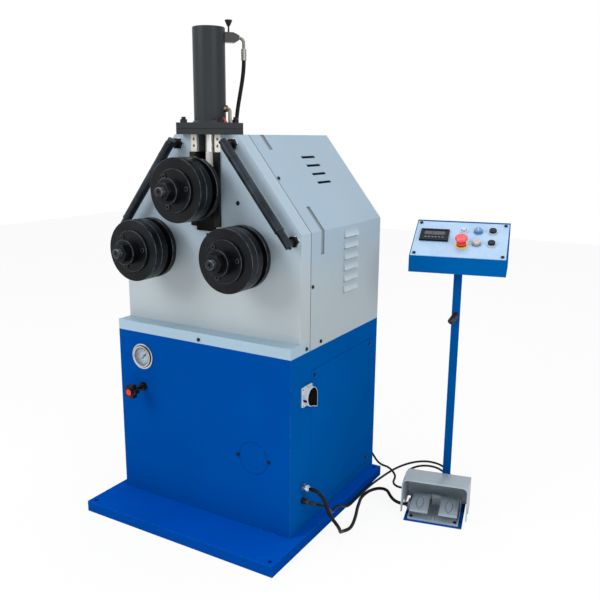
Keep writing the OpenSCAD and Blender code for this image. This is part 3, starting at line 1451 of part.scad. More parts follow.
// Hood: the front outline swept back and cut by the side outline, inside and outside alike
module hood_front_outline(wall) {
    w = hood_w / 2 - wall;
    r = hood_corner - wall;
    h = hood_h - wall;
    translate([-w, 0]) square([2 * w, h - r]);
    translate([-w + r, 0]) square([2 * (w - r), h]);
    for (s = [-1, 1]) translate([s * (w - r), h - r]) circle(r = r);
}
module footswitch_hood() color("#9aa7af") on_stand() difference() {
    intersection() {
        along_y(0, hood_rear) hood_front_outline(0);
        along_x(-hood_w / 2, hood_w) polygon([[hood_front, hood_tip_z], [hood_top_front, hood_h],
            [hood_rear, hood_rear_h], [hood_rear, pedestal_t], [arch_v, pedestal_t]]);
    }
    intersection() {
        along_y(-over, hood_rear - hood_wall + over) translate([0, -over]) hood_front_outline(hood_wall);
        along_x(-hood_w / 2, hood_w) polygon([[-over, -over], [-over, hood_h - hood_wall],
            [hood_top_front, hood_h - hood_wall], [hood_rear - hood_wall, hood_rear_h - hood_wall],
            [hood_rear - hood_wall, -over]]);
    }
    rod_x(arch_v, arch_z, 2 * arch_r, -hood_w / 2 - over, hood_w + 2 * over);
}

pedal_tilt = atan2(pedal_back_z - pedal_front_z, pedal_back_v - pedal_front_v);
module pedal(s) color("#86939b") on_stand() translate([s * (pedal_w + pedal_gap) / 2, 0, 0]) {
    difference() {
        union() {
            along_x(-pedal_w / 2, pedal_w) polygon([
                [pedal_front_v, pedal_front_z - pedal_t], [pedal_front_v, pedal_front_z],
                [pedal_back_v, pedal_back_z], [lug_v, lug_z + pedal_barrel_d / 2],
                [lug_v, lug_z - pedal_barrel_d / 2],
                [pedal_back_v, pedal_back_z - pedal_t - pedal_leaf_h]]);
            rod_x(lug_v, lug_z, pedal_barrel_d, -pedal_w / 2, pedal_w);
        }
        drill_x(lug_v, lug_z, pin_d, -pedal_w / 2, pedal_w);
    }
    translate([0, (pedal_front_v + pedal_back_v) / 2, (pedal_front_z + pedal_back_z) / 2])
        rotate([pedal_tilt, 0, 0]) translate([0, 0, -pedal_leaf_h]) linear_extrude(2 * pedal_leaf_h)
            intersection_for(t = [-1, 1])
                translate([t * (pedal_leaf_r - pedal_leaf_w / 2), 0]) circle(r = pedal_leaf_r);
}
module left_pedal() pedal(-1);
module right_pedal() pedal(1);
module pedal_pin() color(bright) on_stand() rod_x(lug_v, lug_z, pin_d, -tray_w / 2, tray_w);

base_plate();
cabinet();
side_panel();
inspection_cover();
fasteners();
bed_plate();
front_plate();
rear_plate();
tie_bars();
housing_cover();
guide_strips();
shaft_bushes();
guide_bars();
guide_bar_pegs();
cylinder_barrel();
mount_flange();
hose_fittings();
hydraulic_hose();
gear_motor();
hydraulic_unit();
gauge_case();
gauge_lens();
relief_valve();
power_inlet();
cable_glands();
pedestal_plate();
post();
post_grip();
console_box();
console_panel();
display();
panel_fittings();
footswitch_base();
footswitch_hood();
pedal_pin();
conduit();
console_cable();
rear_cable();
left_shaft();
left_rolls();
left_gear();
right_shaft();
right_rolls();
right_gear();
drive_pinion();
upper_shaft();
upper_rolls();
carriage();
piston_rod();
gauge_needle();
relief_knob();
bleed_knob();
estop_plunger();
estop_head();
start_button();
stop_button();
up_button();
down_button();
left_pedal();
right_pedal();
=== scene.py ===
# Angle roll bender with its console and foot switch: cables, finishes, rounded edges, small pieces, stage
import json
import math
import bmesh
import bpy
import numpy as np
from mathutils import Matrix, Vector

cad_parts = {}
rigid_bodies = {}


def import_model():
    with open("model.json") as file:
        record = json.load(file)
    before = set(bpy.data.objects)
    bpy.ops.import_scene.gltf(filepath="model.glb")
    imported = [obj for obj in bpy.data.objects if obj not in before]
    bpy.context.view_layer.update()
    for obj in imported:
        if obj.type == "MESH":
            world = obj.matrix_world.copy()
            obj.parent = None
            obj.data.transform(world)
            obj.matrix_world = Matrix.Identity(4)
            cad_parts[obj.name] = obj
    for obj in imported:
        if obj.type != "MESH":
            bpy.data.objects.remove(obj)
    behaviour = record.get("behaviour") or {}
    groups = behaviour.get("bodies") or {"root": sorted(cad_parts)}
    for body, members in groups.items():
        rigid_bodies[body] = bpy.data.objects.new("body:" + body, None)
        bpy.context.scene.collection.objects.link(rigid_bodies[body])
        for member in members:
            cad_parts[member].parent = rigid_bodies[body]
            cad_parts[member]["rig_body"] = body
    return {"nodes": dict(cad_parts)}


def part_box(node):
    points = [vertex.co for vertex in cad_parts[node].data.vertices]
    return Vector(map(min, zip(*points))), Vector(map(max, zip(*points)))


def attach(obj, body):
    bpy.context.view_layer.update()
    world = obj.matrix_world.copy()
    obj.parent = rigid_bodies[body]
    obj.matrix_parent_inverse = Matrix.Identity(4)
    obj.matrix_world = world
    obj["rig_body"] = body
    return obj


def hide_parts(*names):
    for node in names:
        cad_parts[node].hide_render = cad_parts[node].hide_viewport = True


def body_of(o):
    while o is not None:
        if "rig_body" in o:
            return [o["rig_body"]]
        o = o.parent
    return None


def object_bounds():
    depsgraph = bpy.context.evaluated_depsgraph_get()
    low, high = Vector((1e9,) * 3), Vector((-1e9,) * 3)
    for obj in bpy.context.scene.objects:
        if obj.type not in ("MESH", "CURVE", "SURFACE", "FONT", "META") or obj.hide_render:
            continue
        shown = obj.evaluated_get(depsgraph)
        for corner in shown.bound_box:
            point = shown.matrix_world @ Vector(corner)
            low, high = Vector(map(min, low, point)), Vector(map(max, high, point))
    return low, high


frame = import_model()
nodes = frame["nodes"]
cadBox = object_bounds()
scene = bpy.context.scene
scene.view_settings.view_transform = "Standard"
mm = 0.001
alongX, acrossY, upright = np.eye(3)
forward = -acrossY
print("frame loaded,", len(nodes), "nodes")


def placed(name, data):
    thing = bpy.data.objects.new(name, data)
    scene.collection.objects.link(thing)
    return thing


def picked(settings, keys):
    return [settings[key] for key in keys.split()]


def turned(angle, axis):
    return Matrix.Rotation(math.radians(angle), 4, axis)


# camera worked out from the edges of the cabinet, housing and base plate
cameraSet = {"place": (1.3349, -1.8929, 1.2259), "yaw": 30.3, "pitch": 13, "roll": 0.5,
             "lens": 43.08, "sensor": 36}
camera = placed("camera", bpy.data.cameras.new("camera"))
camera.data.lens, camera.data.sensor_width = cameraSet["lens"], cameraSet["sensor"]
camera.matrix_world = (Matrix.Translation(cameraSet["place"]) @ turned(cameraSet["yaw"], "Z")
                       @ turned(90 - cameraSet["pitch"], "X") @ turned(cameraSet["roll"], "Z"))
scene.camera = camera


# Mesh tools

weldGap = 1e-6
# directions that no cable or axis runs along
slants = {"tube": (0.36, 0.48, 0.8), "turned": (0.31, 0.17, 0.93)}
# a pad's rows: shares of its outline, height and crown
padRows = np.array([(0, 0, 0), (1, 0, 0), (1, 0.7, 0), (0.97, 0.92, 0), (0.9, 1, 0), (0.5, 1, 0.75),
                    (0, 1, 1)])


def unit(v):
    return v / np.linalg.norm(v, axis=-1, keepdims=True)


def runAlong(path):
    # distance from the start to each point of the path
    return np.concatenate([[0], np.cumsum(np.linalg.norm(np.diff(path, axis=0), axis=1))])


def gridFaces(rows, cols, around=True):
    # quads between neighbouring rows and columns, joined up where the grid goes around
    index = np.arange(rows * cols).reshape(rows, cols)
    if around:
        index = np.concatenate([index, index[:, :1]], axis=1)
    return np.stack([index[:-1, :-1], index[:-1, 1:], index[1:, 1:], index[1:, :-1]], -1).reshape(-1, 4)


def reworked(mesh, work):
    shell = bmesh.new()
    shell.from_mesh(mesh)
    work(shell)
    shell.to_mesh(mesh)
    shell.free()


def closeShell(shell):
    bmesh.ops.remove_doubles(shell, verts=shell.verts, dist=weldGap)
    bmesh.ops.recalc_face_normals(shell, faces=shell.faces)


def dressed(name, mesh, node, finish=None):
    # smooth faces, a finish or the node's own, and the node's body
    mesh.polygons.foreach_set("use_smooth", np.ones(len(mesh.polygons), bool))
    mesh.materials.append(finish or finishes[node])
    piece = placed(name, mesh)
    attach(piece, body_of(nodes[node])[0])
    return piece


def meshPiece(name, grids, node, finish=None, uv=None):
    # grids of points joined into one mesh at the origin: doubles merged, faces outwards
    places = np.concatenate([grid.reshape(-1, 3) for grid in grids])
    starts = np.cumsum([0] + [grid.shape[0] * grid.shape[1] for grid in grids[:-1]])
    faces = np.concatenate([gridFaces(*grid.shape[:2], uv is None) + i for grid, i in zip(grids, starts)])
    mesh = bpy.data.meshes.new(name)
    mesh.from_pydata(places.tolist(), [], faces.tolist())
    if uv is not None:
        corner = np.empty(len(mesh.loops), np.int32)
        mesh.loops.foreach_get("vertex_index", corner)
        mesh.uv_layers.new(name="UVMap").data.foreach_set("uv", np.asarray(uv, np.float32)[corner].ravel())
    reworked(mesh, closeShell)
    return dressed(name, mesh, node, finish)


def smoothPath(points, step, between=24):
    # uniform cubic B-spline with its ends on the first and last points, evenly spaced
    p = np.asarray(points, float)
    p = np.vstack([2 * p[0] - p[1], p, 2 * p[-1] - p[-2]])
    t = np.linspace(0, 1, between, endpoint=False)[None, :, None]
    a, b, c, d = (p[i:len(p) - 3 + i, None, :] for i in range(4))
    fine = ((1 - t) ** 3 * a + (3 * t ** 3 - 6 * t ** 2 + 4) * b
            + (1 + 3 * t + 3 * t ** 2 - 3 * t ** 3) * c + t ** 3 * d) / 6
    fine = np.vstack([fine.reshape(-1, 3), p[-2]])
    run = runAlong(fine)
    even = np.linspace(0, run[-1], max(8, int(run[-1] / step)))
    return np.stack([np.interp(even, run, fine[:, i]) for i in range(3)], -1)


def tubeGrid(path, radius, sides=20):
    # a circle carried along the path: its frame leans on a fixed slant, ends closed
    tangent = unit(np.gradient(path, axis=0))
    side = unit(np.cross(tangent, slants["tube"]))
    up = np.cross(tangent, side)
    angle = np.linspace(0, 2 * np.pi, sides + 1)
    r = np.broadcast_to(np.asarray(radius, float), (len(path),))[:, None, None]
    ring = path[:, None] + r * (np.cos(angle)[None, :, None] * side[:, None]
                                + np.sin(angle)[None, :, None] * up[:, None])
    ends = [np.repeat(path[i, None, None], sides + 1, 1) for i in (0, -1)]
    return np.concatenate([ends[0], ring, ends[1]])


def turnedGrid(profile, place, axis, spokes=40):
    # rows of radius and height in mm swept about an axis at a place
    side = unit(np.cross(axis, slants["turned"]))
    angle = np.linspace(0, 2 * np.pi, spokes, endpoint=False)[:, None]
    ring = np.cos(angle) * side + np.sin(angle) * np.cross(axis, side)
    radius, height = np.asarray(profile, float).T[:, :, None, None]
    return (place + radius * ring + height * axis) * mm


def wireProfile(radius, wide, high, points=13):
    # an ellipse about a radius, which turns into a ring
    angle = np.linspace(0, 2 * np.pi, points)
    return np.stack([radius + wide * np.cos(angle), high * np.sin(angle)], -1)


def padGrid(place, ways, half, height, crown=0, square=7, spokes=32):
    # superellipse outline raised by its wall, drawn in over a shoulder to a crowned top
    angle = np.linspace(0, 2 * np.pi, spokes, endpoint=False)
    wide, tall = (np.sign(v) * np.abs(v) ** (2 / square) * h
                  for v, h in zip((np.cos(angle), np.sin(angle)), half))
    share, level, dome = padRows.T[:, :, None, None]
    right, up, out = ways
    flat = wide[:, None] * right + tall[:, None] * up
    return (place + share * flat + (level + crown * dome) * height * out) * mm


# Shader tools

def tone(code):
    # a colour written as on screen, made linear
    c = np.array([int(code[i:i + 2], 16) for i in (1, 3, 5)]) / 255
    return (*np.where(c <= 0.04045, c / 12.92, ((c + 0.055) / 1.055) ** 2.4).tolist(), 1)


def shade(code, share):
    return tuple(min(1, c * share) for c in tone(code)[:3]) + (1,)


def binary(operation, swapped=False):
    # an operator that adds a Math node, its values swapped for the reflected form
    return lambda own, other: own.wiring.math(operation, *((other, own) if swapped else (own, other)))


class Strand:
    # one output socket; sums and products of strands add Math nodes
    __add__, __radd__ = binary("ADD"), binary("ADD", True)
    __sub__, __rsub__ = binary("SUBTRACT"), binary("SUBTRACT", True)
    __mul__, __rmul__ = binary("MULTIPLY"), binary("MULTIPLY", True)
    __pow__, least, most = binary("POWER"), binary("MINIMUM"), binary("MAXIMUM")

    def __init__(self, wiring, socket):
        self.wiring, self.socket = wiring, socket

    def __abs__(self):
        return self.wiring.math("ABSOLUTE", self)

    def beside(self, name):
        return Strand(self.wiring, self.socket.node.outputs[name])

    def ramp(self, low, high):
        # smooth step from 0 at low to 1 at high, either way round
        ends = {0: self, 1: min(low, high), 2: max(low, high)}
        step = self.wiring.add("MapRange", ends, interpolation_type="SMOOTHSTEP")
        return step if low < high else 1 - step


class Wiring:
    # a node tree and the one way of adding a node to it
    def __init__(self, tree):
        self.tree = tree
        tree.nodes.clear()

    def add(self, kind, values=None, output=0, **settings):
        node = self.tree.nodes.new("ShaderNode" + kind)
        for key, value in settings.items():
            setattr(node, key, value)
        for key, value in (values or {}).items():
            self.put(node.inputs[key], value)
        return Strand(self, node.outputs[output]) if len(node.outputs) else node

    def put(self, socket, value):
        # a strand is linked, and a colour may be written as on screen
        if isinstance(value, Strand):
            self.tree.links.new(value.socket, socket)
        else:
            socket.default_value = tone(value) if isinstance(value, str) else value

    def math(self, operation, *values):
        return self.add("Math", dict(enumerate(values)), operation=operation)

    def seenWhite(self):
        # 1 for what the camera sees itself, in a mirror or through glass
        ray = self.add("LightPath", output="Is Camera Ray")
        return ray.most(ray.beside("Is Glossy Ray")).most(ray.beside("Is Transmission Ray"))


class Finish(Wiring):
    # a material with one principled shader and its object coordinates
    def __init__(self, name):
        self.material = bpy.data.materials.new(name)
        self.material.use_nodes = True
        super().__init__(self.material.node_tree)
        self.shader = self.add("BsdfPrincipled")
        self.end = self.add("OutputMaterial", {0: self.shader})
        self.place = self.add("TexCoord", output="Object")
        self.axes = self.x, self.y, self.z = self.parts(self.place)

    def parts(self, vector):
        x = self.add("SeparateXYZ", {0: vector})
        return x, x.beside("Y"), x.beside("Z")

    def vector(self, x, y, z):
        return self.add("CombineXYZ", {0: x, 1: y, 2: z})

    def dot(self, vector, way):
        return self.add("VectorMath", {0: vector, 1: way}, "Value", operation="DOT_PRODUCT")

    def noise(self, scale, detail=2, vector=None, rough=0.5):
        values = {"Vector": vector or self.place, "Scale": scale, "Detail": detail, "Roughness": rough}
        return self.add("TexNoise", values)

    def mix(self, factor, first, second):
        return self.add("Mix", {0: factor, 6: first, 7: second}, 2, data_type="RGBA")

    def clouded(self, cloud, code, vary):
        return self.mix(cloud, shade(code, 1 - vary), shade(code, 1 + vary))

    def feed(self, colour, rough, bump=None, bare=None, gloss=None, alpha=None):
        # what is given goes to the principled shader, a bump as its height, strength and distance
        if bump:
            bump = self.add("Bump", dict(zip(("Height", "Strength", "Distance"), bump)))
        sockets = {"Base Color": colour, "Roughness": rough, "Normal": bump, "Metallic": bare,
                   "Specular IOR Level": gloss, "Alpha": alpha}
        for name, value in sockets.items():
            if value is not None:
                self.put(self.shader.socket.node.inputs[name], value)
        return self.material


def around(a, b, centre):
    # distance from a line along the third axis
    da, db = a - centre[0], b - centre[1]
    return (da * da + db * db) ** 0.5


def edgeDistance(f, node):
    # distance to the nearest edge of a node's box: the middle one of its distances to faces
    low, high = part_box(node)
    d = [(v - lo).least(hi - v) for v, lo, hi in zip(f.axes, low, high)]
    return d[0] + d[1] + d[2] - d[0].most(d[1]).most(d[2])


# Finishes: a pair in their sets is where a mask starts and where it is full, in metres

# the side tone is painted light: the cabinet's right side and side panel lighter and greener than the front
# the slat tone is a painted highlight on the louvres
blueTone, sideLitTone, greyTone, slatHighlightTone = "#004697", "#00519c", "#a6b5c2", "#b8c7d0"
wornEdge, jointSoft = (0.0035, 0.0004), (0.0007, 0.0008)
# dark joints, and painted shade on the walls of the front plate's slot: axis, level, half width, and the face
# that they lie behind
seams = {"flange": (2, 1.24, 0.0014, -0.4), "cover": (1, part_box("housing_cover")[0][1], 0.0014, -0.4),
         "slot": (0, 0, 0.0334, -0.1676)}
# tones that a paint fades to, all of them painted light and shade: axis, start, end, colour
fades = {"plateSideShade": (2, 0.0346, 0.0336, "#00449a"), "sideWallLight": (0, 0.3288, 0.3296, sideLitTone),
         "frontLowShade": (2, 0.98, 0.76, "#abb5ba"), "coverLowShade": (2, 1, 0.74, "#a3b0b6"),
         "rightSlatHighlight": (0, 0.3304, 0.337, slatHighlightTone), "leftSlatHighlight": (0, -0.3304, -0.337, slatHighlightTone)}
# louvre rows on the housing's sides, for painted shade under their lips: lowest lip, pitch, the line's place
# in a pitch, the wall, and the row's ends in height and depth
slatSet = {"low": 0.74, "pitch": 0.0348, "lip": (0.84, 0.9), "wall": (0.3312, 0.3304),
           "rise": [(0.733, 0.735), (0.9146, 0.914)], "depth": [(0.096, 0.097), (0.188, 0.187)]}
rollCentre = {"left": (-0.17, 0.882), "right": (0.17, 0.882), "upper": (0, 1.068)}
rollSet = {
    "radius": 0.0925, "hub": 0.062, "discs": (-0.22, -0.237, -0.259, -0.2855, -0.312), "hubFront": -0.3205,
    "boss": (0.0375, -0.35), "rimHighlight": (0.0019, 0.0006), "screwRing": 0.05, "screwTurns": (8, 128, 248),
    "screw": 0.006, "screwRimHighlight": (0.0016, 0.0008), "screwFace": (-0.3215, -0.3225), "socket": (0.0036, 0.0032)}


def lipShade(f, slats):
    # painted shade: a dark line at the top of each louvre's pitch, under its lip, between the ends of the row
    line = f.math("FRACT", (f.z - slats["low"]) * (1 / slats["pitch"])).ramp(*slats["lip"])
    line *= abs(f.x).ramp(*slats["wall"])
    for rise, depth in zip(slats["rise"], slats["depth"]):
        line *= f.z.ramp(*rise) * f.y.ramp(*depth)
    return line


def paint(name, colour, rough=0.4, node=None, gloss=0.35, vary=0.05, under="#6d7277", seam=None, fade=(),
          slats=None):
    # sprayed enamel: slow cloud, orange peel, rubbed box edges, a dark joint line (painted shade on a slot's
    # walls), fades of painted light and shade, painted shade under louvre lips
    f = Finish(name)
    cloud = f.noise(2.6, 3).ramp(0.3, 0.7)
    speck = f.noise(90, 4, rough=0.6).ramp(0.6, 0.72)
    skin = f.clouded(cloud, colour, vary)
    for axis, start, end, second in fade:
        skin = f.mix(f.axes[axis].ramp(start, end), skin, f.clouded(cloud, second, vary))
    skin = f.mix(speck * 0.1, skin, shade(colour, 0.7))
    worn = 0
    if node:
        worn = edgeDistance(f, node).ramp(*wornEdge) * f.noise(170, 3).ramp(0.52, 0.64)
        skin = f.mix(worn * 0.45, skin, under)
    # a dark joint line; on the walls of the front plate's slot it is painted shade
    if seam:
        axis, level, reach, face = seam
        jointAndSlotShade = abs(f.axes[axis] - level).ramp(reach + jointSoft[0], reach - jointSoft[0])
        skin = f.mix(jointAndSlotShade * f.y.ramp(face, face + jointSoft[1]), skin, shade(colour, 0.04))
    if slats:
        skin = f.mix(lipShade(f, slats) * 0.8, skin, shade(colour, 0.35))
    peel = f.noise(620, 2) + f.noise(45, 2) * 2
    return f.feed(skin, cloud * 0.08 + speck * 0.12 + worn * 0.2 + (rough - 0.04), (peel, 0.08, 0.0006),
                  gloss=gloss)


def bluePaint(name, node=None, colour=blueTone, fade=()):
    return paint(name, colour, rough=0.34, node=node, gloss=0, under="#3d5f8c", fade=fade)


def blackOxide(name, dark="#0e1013", light="#181b1f", rough=0.36, centre=None, highlightRims=(), screws=(), core=None):
    # blackened steel: slow cloud, turning marks by radius and length, painted highlights on rims and screw
    # heads, painted shade in sockets and across x in the core
    f = Finish(name)
    cloud = f.noise(14, 4, rough=0.6).ramp(0.35, 0.7)
    rub = f.noise(70, 4, rough=0.65).ramp(0.6, 0.75)
    skin = f.mix(rub * 0.25, f.mix(cloud, dark, light), "#35363a")
    marks = f.noise(400, 2)
    if centre:
        radius = around(f.x, f.z, centre)
        marks = f.noise(1, 2, f.vector(radius * 1700, f.y * 1700, 0))
    # painted shade: near black across x in the core
    if core:
        skin = f.mix(abs(f.x).ramp(*core), skin, "#040404")
    # painted highlight: pale lines along the rims
    for rimRadius, level in highlightRims:
        line = abs(radius - rimRadius).most(abs(f.y - level)).ramp(*rollSet["rimHighlight"])
        skin = f.mix(line * f.noise(60, 3).ramp(0.3, 0.62) * 0.5, skin, "#707b88")
    # painted highlight round each screw head, painted shade in its socket
    for screw in screws:
        head, front = around(f.x, f.z, screw), f.y.ramp(*rollSet["screwFace"])
        skin = f.mix(front * abs(head - rollSet["screw"]).ramp(*rollSet["screwRimHighlight"]), skin, "#43474d")
        skin = f.mix(front * head.ramp(*rollSet["socket"]), skin, "#030303")
    return f.feed(skin, marks * 0.14 + cloud * 0.08 + (rough - 0.1), (marks, 0.12, 0.0004), 0.6, 0.35)


def metal(name, colour, rough, grain=(1, 1, 1), scale=300, vary=0.12, bare=1):
    # bare metal with a directed grain: noise stretched along the axis with the small factor
    f = Finish(name)
    lines = f.noise(scale, 3, f.add("Mapping", {"Vector": f.place, "Scale": grain}))
    cloud = f.noise(9, 3)
    skin = f.mix(cloud.ramp(0.3, 0.7), shade(colour, 1 - vary), colour)
    return f.feed(skin, lines * 0.16 + cloud * 0.06 + (rough - 0.1), (lines, 0.06, 0.0003), bare)


def plastic(name, colour, rough=0.45, grain=900, depth=0.1, vary=0.05, gloss=0.5):
    # moulded plastic with a fine spark texture and faint handling marks
    f = Finish(name)
    cloud = f.noise(16, 3).ramp(0.35, 0.7)
    rub = f.noise(130, 4, rough=0.6).ramp(0.58, 0.72)
    return f.feed(f.clouded(cloud, colour, vary), cloud * 0.06 + rub * 0.1 + (rough - 0.03),
                  (f.noise(grain, 2), depth, 0.0004), gloss=gloss)


def footPlastic(name, colour):
    # grey moulded foot switch: spark texture, paler where hands and shoes rub
    f = Finish(name)
    cloud = f.noise(11, 4).ramp(0.3, 0.7)
    rub = f.noise(55, 4, rough=0.65).ramp(0.55, 0.72)
    skin = f.mix(rub * 0.16, f.clouded(cloud, colour, 0.05), shade(colour, 1.2))
    return f.feed(skin, rub * 0.12 + cloud * 0.06 + 0.38, (f.noise(620, 3), 0.16, 0.0005))


def sheathRubber(name, colour):
    # extruded sheath: dull black with drag lines along its UV, and paler dust
    f = Finish(name)
    turn, along, _ = f.parts(f.add("TexCoord", output="UV"))
    angle = turn * (2 * math.pi)
    drag = f.noise(1, 3, f.vector(f.math("COSINE", angle) * 4, f.math("SINE", angle) * 4, along * 30))
    dust = f.noise(60, 4).ramp(0.5, 0.75)
    skin = f.mix(dust * 0.25, shade(colour, 0.65), "#1c1c1d")
    grain = drag + f.noise(900, 2) * 0.5
    return f.feed(skin, drag * 0.14 + dust * 0.1 + 0.4, (grain, 0.12, 0.0005), gloss=0.14)


# Cables and hose: the points of their solids, in mm from each gland's end

conduitSet = {
    "node": "conduit", "diameter": 11, "stiffness": "stiff", "lay": "loose",
    "gland": (356, -149, 174), "out": (11, 0, 0), "end": (538.615, 187.258, 18), "back": (-10.718, -2.474, 0),
    "way": [
        (41, -2, -6), (59, -7, -24), (67, -9, -46), (76, -7, -66), (87, 0, -84), (94, 10, -102),
        (94, 23, -120), (88, 37, -136), (82, 55, -148), (78, 75, -156), (80, 96, -163), (82, 118, -167),
        (79, 140, -168), (74, 161, -168), (68, 182, -168), (61, 204, -168), (54, 224, -168),
        (46, 245, -168), (40, 266, -167), (34, 288, -167), (27, 309, -168), (25, 330, -168),
        (30, 351, -162), (44, 367, -155), (63, 375, -148), (85, 374, -143), (105, 363, -141),
        (118, 347, -145), (139, 333, -153), (183, 336, -156)]}
consoleCableSet = {
    "node": "console_cable", "diameter": 8, "stiffness": "medium", "lay": "loose",
    "gland": (356, -149, 129), "out": (8, 0, 0), "end": (621.01, 350.476, 34), "back": (-1.8, 7.795, 0),
    "way": [
        (31, 5, -2), (44, 19, -10), (46, 36, -21), (40, 52, -37), (35, 73, -54), (28, 96, -70),
        (20, 119, -82), (13, 141, -87), (10, 159, -89), (11, 173, -91), (12, 187, -94), (13, 203, -103),
        (13, 221, -115), (13, 239, -122), (13, 259, -125), (12, 299, -125), (12, 344, -125),
        (12, 389, -125), (14, 434, -125), (19, 479, -125), (25, 524, -125), (32, 569, -125),
        (43, 611, -125), (60, 651, -125), (84, 687, -125), (116, 711, -125), (152, 715, -125),
        (186, 701, -125), (214, 675, -125), (234, 641, -124), (246, 605, -119), (253, 573, -109),
        (258, 547, -99), (265, 499, -95)]}
rearCableSet = {
    "node": "rear_cable", "diameter": 8, "stiffness": "medium", "lay": "loose",
    "gland": (260, 394, 95), "out": (0, 10, 0), "end": (621.01, 350.476, 62), "back": (-2.25, 9.744, 0),
    "way": [
        (5, 38, -6), (17, 51, -26), (26, 55, -47), (37, 59, -66), (49, 57, -80), (64, 51, -87),
        (82, 42, -88), (98, 34, -84), (115, 25, -82), (133, 14, -84), (148, 2, -89), (159, -14, -91),
        (164, -36, -91), (168, -57, -91), (181, -76, -91), (201, -84, -91), (222, -80, -91),
        (237, -65, -91), (241, -44, -91), (233, -24, -91), (212, -10, -91), (195, 6, -91), (184, 30, -91),
        (181, 58, -91), (188, 90, -91), (205, 118, -91), (230, 134, -91), (260, 136, -91), (286, 124, -91),
        (306, 102, -88), (322, 74, -79), (335, 44, -63), (345, 16, -46), (352, -6, -35), (361, -44, -33)]}
# the hose leans in from the ferrule by a smooth step, in the vertical plane of the port
hoseSet = {
    "node": "hydraulic_hose", "diameter": 12, "stiffness": "stiff", "lay": "hanging", "axis": (0, -143),
    "turn": 45, "radius": 102, "lean": 24, "top": 1435, "foot": 1245, "end": 1215, "points": 15}
sheathShare = 0.98


def laidRoute(cord):
    # straight out of the gland, along the way, straight in at the far end, rounding shared out
    gland, out, end, back, way = map(np.array, picked(cord, "gland out end back way"))
    spread = (end - gland - way[-1]) * np.arange(1, len(way))[:, None] / len(way)
    return np.vstack([gland, gland + out, gland + 2 * out, gland + way[:-1] + spread,
                      end + 2 * back, end + back, end])


def hoseRoute(hose):
    share = np.linspace(0, 1, hose["points"])
    (x, y), radius, lean, top, foot, end = picked(hose, "axis radius lean top foot end")
    reach = radius - lean * np.append(3 * share ** 2 - 2 * share ** 3, 1)
    level = np.append(top - share * (top - foot), end)
    turn = math.radians(hose["turn"])
    return np.stack([x + reach * math.cos(turn), y + reach * math.sin(turn), level], -1)


def layCord(cord, route, finish, step=0.004, sides=20):
    diameter = sheathShare * cord["diameter"] * mm
    low, high = np.array(cadBox[0]) + diameter / 2, np.array(cadBox[1]) - diameter / 2
    path = np.clip(smoothPath(route * mm, step), low, high)
    run = runAlong(path)
    along = np.concatenate([[0], run, run[-1:]])
    uv = np.stack(np.broadcast_arrays(np.linspace(0, 1, sides + 1)[None], along[:, None]), -1)
    piece = meshPiece(cord["node"] + "Sheath", [tubeGrid(path, diameter / 2, sides)], cord["node"], finish,
                      uv=uv.reshape(-1, 2))
    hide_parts(cord["node"])
    print(cord["node"], "runs", round(float(run[-1]), 3), "m")
    return path


sheath = sheathRubber("blackSheath", "#0e0e0f")
paths = {cord["node"]: layCord(cord, laidRoute(cord), sheath)
         for cord in (conduitSet, consoleCableSet, rearCableSet)}
paths[hoseSet["node"]] = layCord(hoseSet, hoseRoute(hoseSet), sheath)

# tapered boots where the two thin cables leave their glands and enter the post
bootSet = {"length": 22, "thick": 11.2, "thin": 8.9, "ripple": 0.25, "ripples": 4, "steps": 12}


def bootGrid(path):
    length, thick, thin, ripple, ripples = picked(bootSet, "length thick thin ripple ripples")
    steps, run = np.linspace(0, 1, bootSet["steps"]), runAlong(path)
    line = np.stack([np.interp(steps * length * mm, run, path[:, i]) for i in range(3)], -1)
    width = thick + (thin - thick) * steps + ripple * np.cos(steps * 2 * np.pi * ripples)
    return tubeGrid(line, width * mm / 2)


bootPaths = picked(paths, "console_cable rear_cable")
meshPiece("cableBoots", [bootGrid(path[::way]) for way in (1, -1) for path in bootPaths],
          "cable_glands", plastic("bootRubber", "#0f0f10", 0.6, 700, 0.16))
print("camera and cables set")


# Directions of the stand and of its console's sloping face

consoleSet = {"stand": (650, 136, 0), "turn": 13, "foot": (20, 120, 854), "slope": 27.69, "skin": 2}
standTurn = math.radians(consoleSet["turn"])
standRight = np.array((math.cos(standTurn), math.sin(standTurn), 0))
standBack = np.array((-math.sin(standTurn), math.cos(standTurn), 0))


def onStand(u, v, z):
    # a place in mm, right, back and up from the stand's middle
    return np.array(consoleSet["stand"]) + u * standRight + v * standBack + z * upright


def sloped(degrees):
    # directions up a face that leans back by an angle, and out of it
    lean = math.radians(degrees)
    return (standBack * math.cos(lean) + upright * math.sin(lean),
            upright * math.cos(lean) - standBack * math.sin(lean))


faceUp, faceOut = sloped(consoleSet["slope"])
faceFoot = onStand(*consoleSet["foot"])
faceWays = (standRight, faceUp, faceOut)


def facePlace(s, t, n):
    return faceFoot + s * standRight + t * faceUp + (consoleSet["skin"] + n) * faceOut


# buttons and their marks, emergency stop and ribbed lamp, in mm on the console's face
markSet = {
    "top": 12.5, "start": (52, 143), "bar": (0.9, 6.4), "stop": (52, 77), "ring": 5.2,
    "emergency": (6, 68), "lamp": (6, 148), "lampTop": 9, "lampRadius": 7.2, "lampRise": 1.6,
    "lampFoot": -0.2, "ribs": 4, "ribRise": 0.18, "rise": 0.35, "sunk": 0.1, "wire": (0.85, 0.3)}


# Finishes that change over one piece, each with its set of places

fittingSet = {"axis": (0, -0.143), "outer": (0.0872, 0.0884), "low": (1.36, 1.35),
              "cap": (-0.1405, -0.1415), "ferrule": (1.4675, 1.4665)}


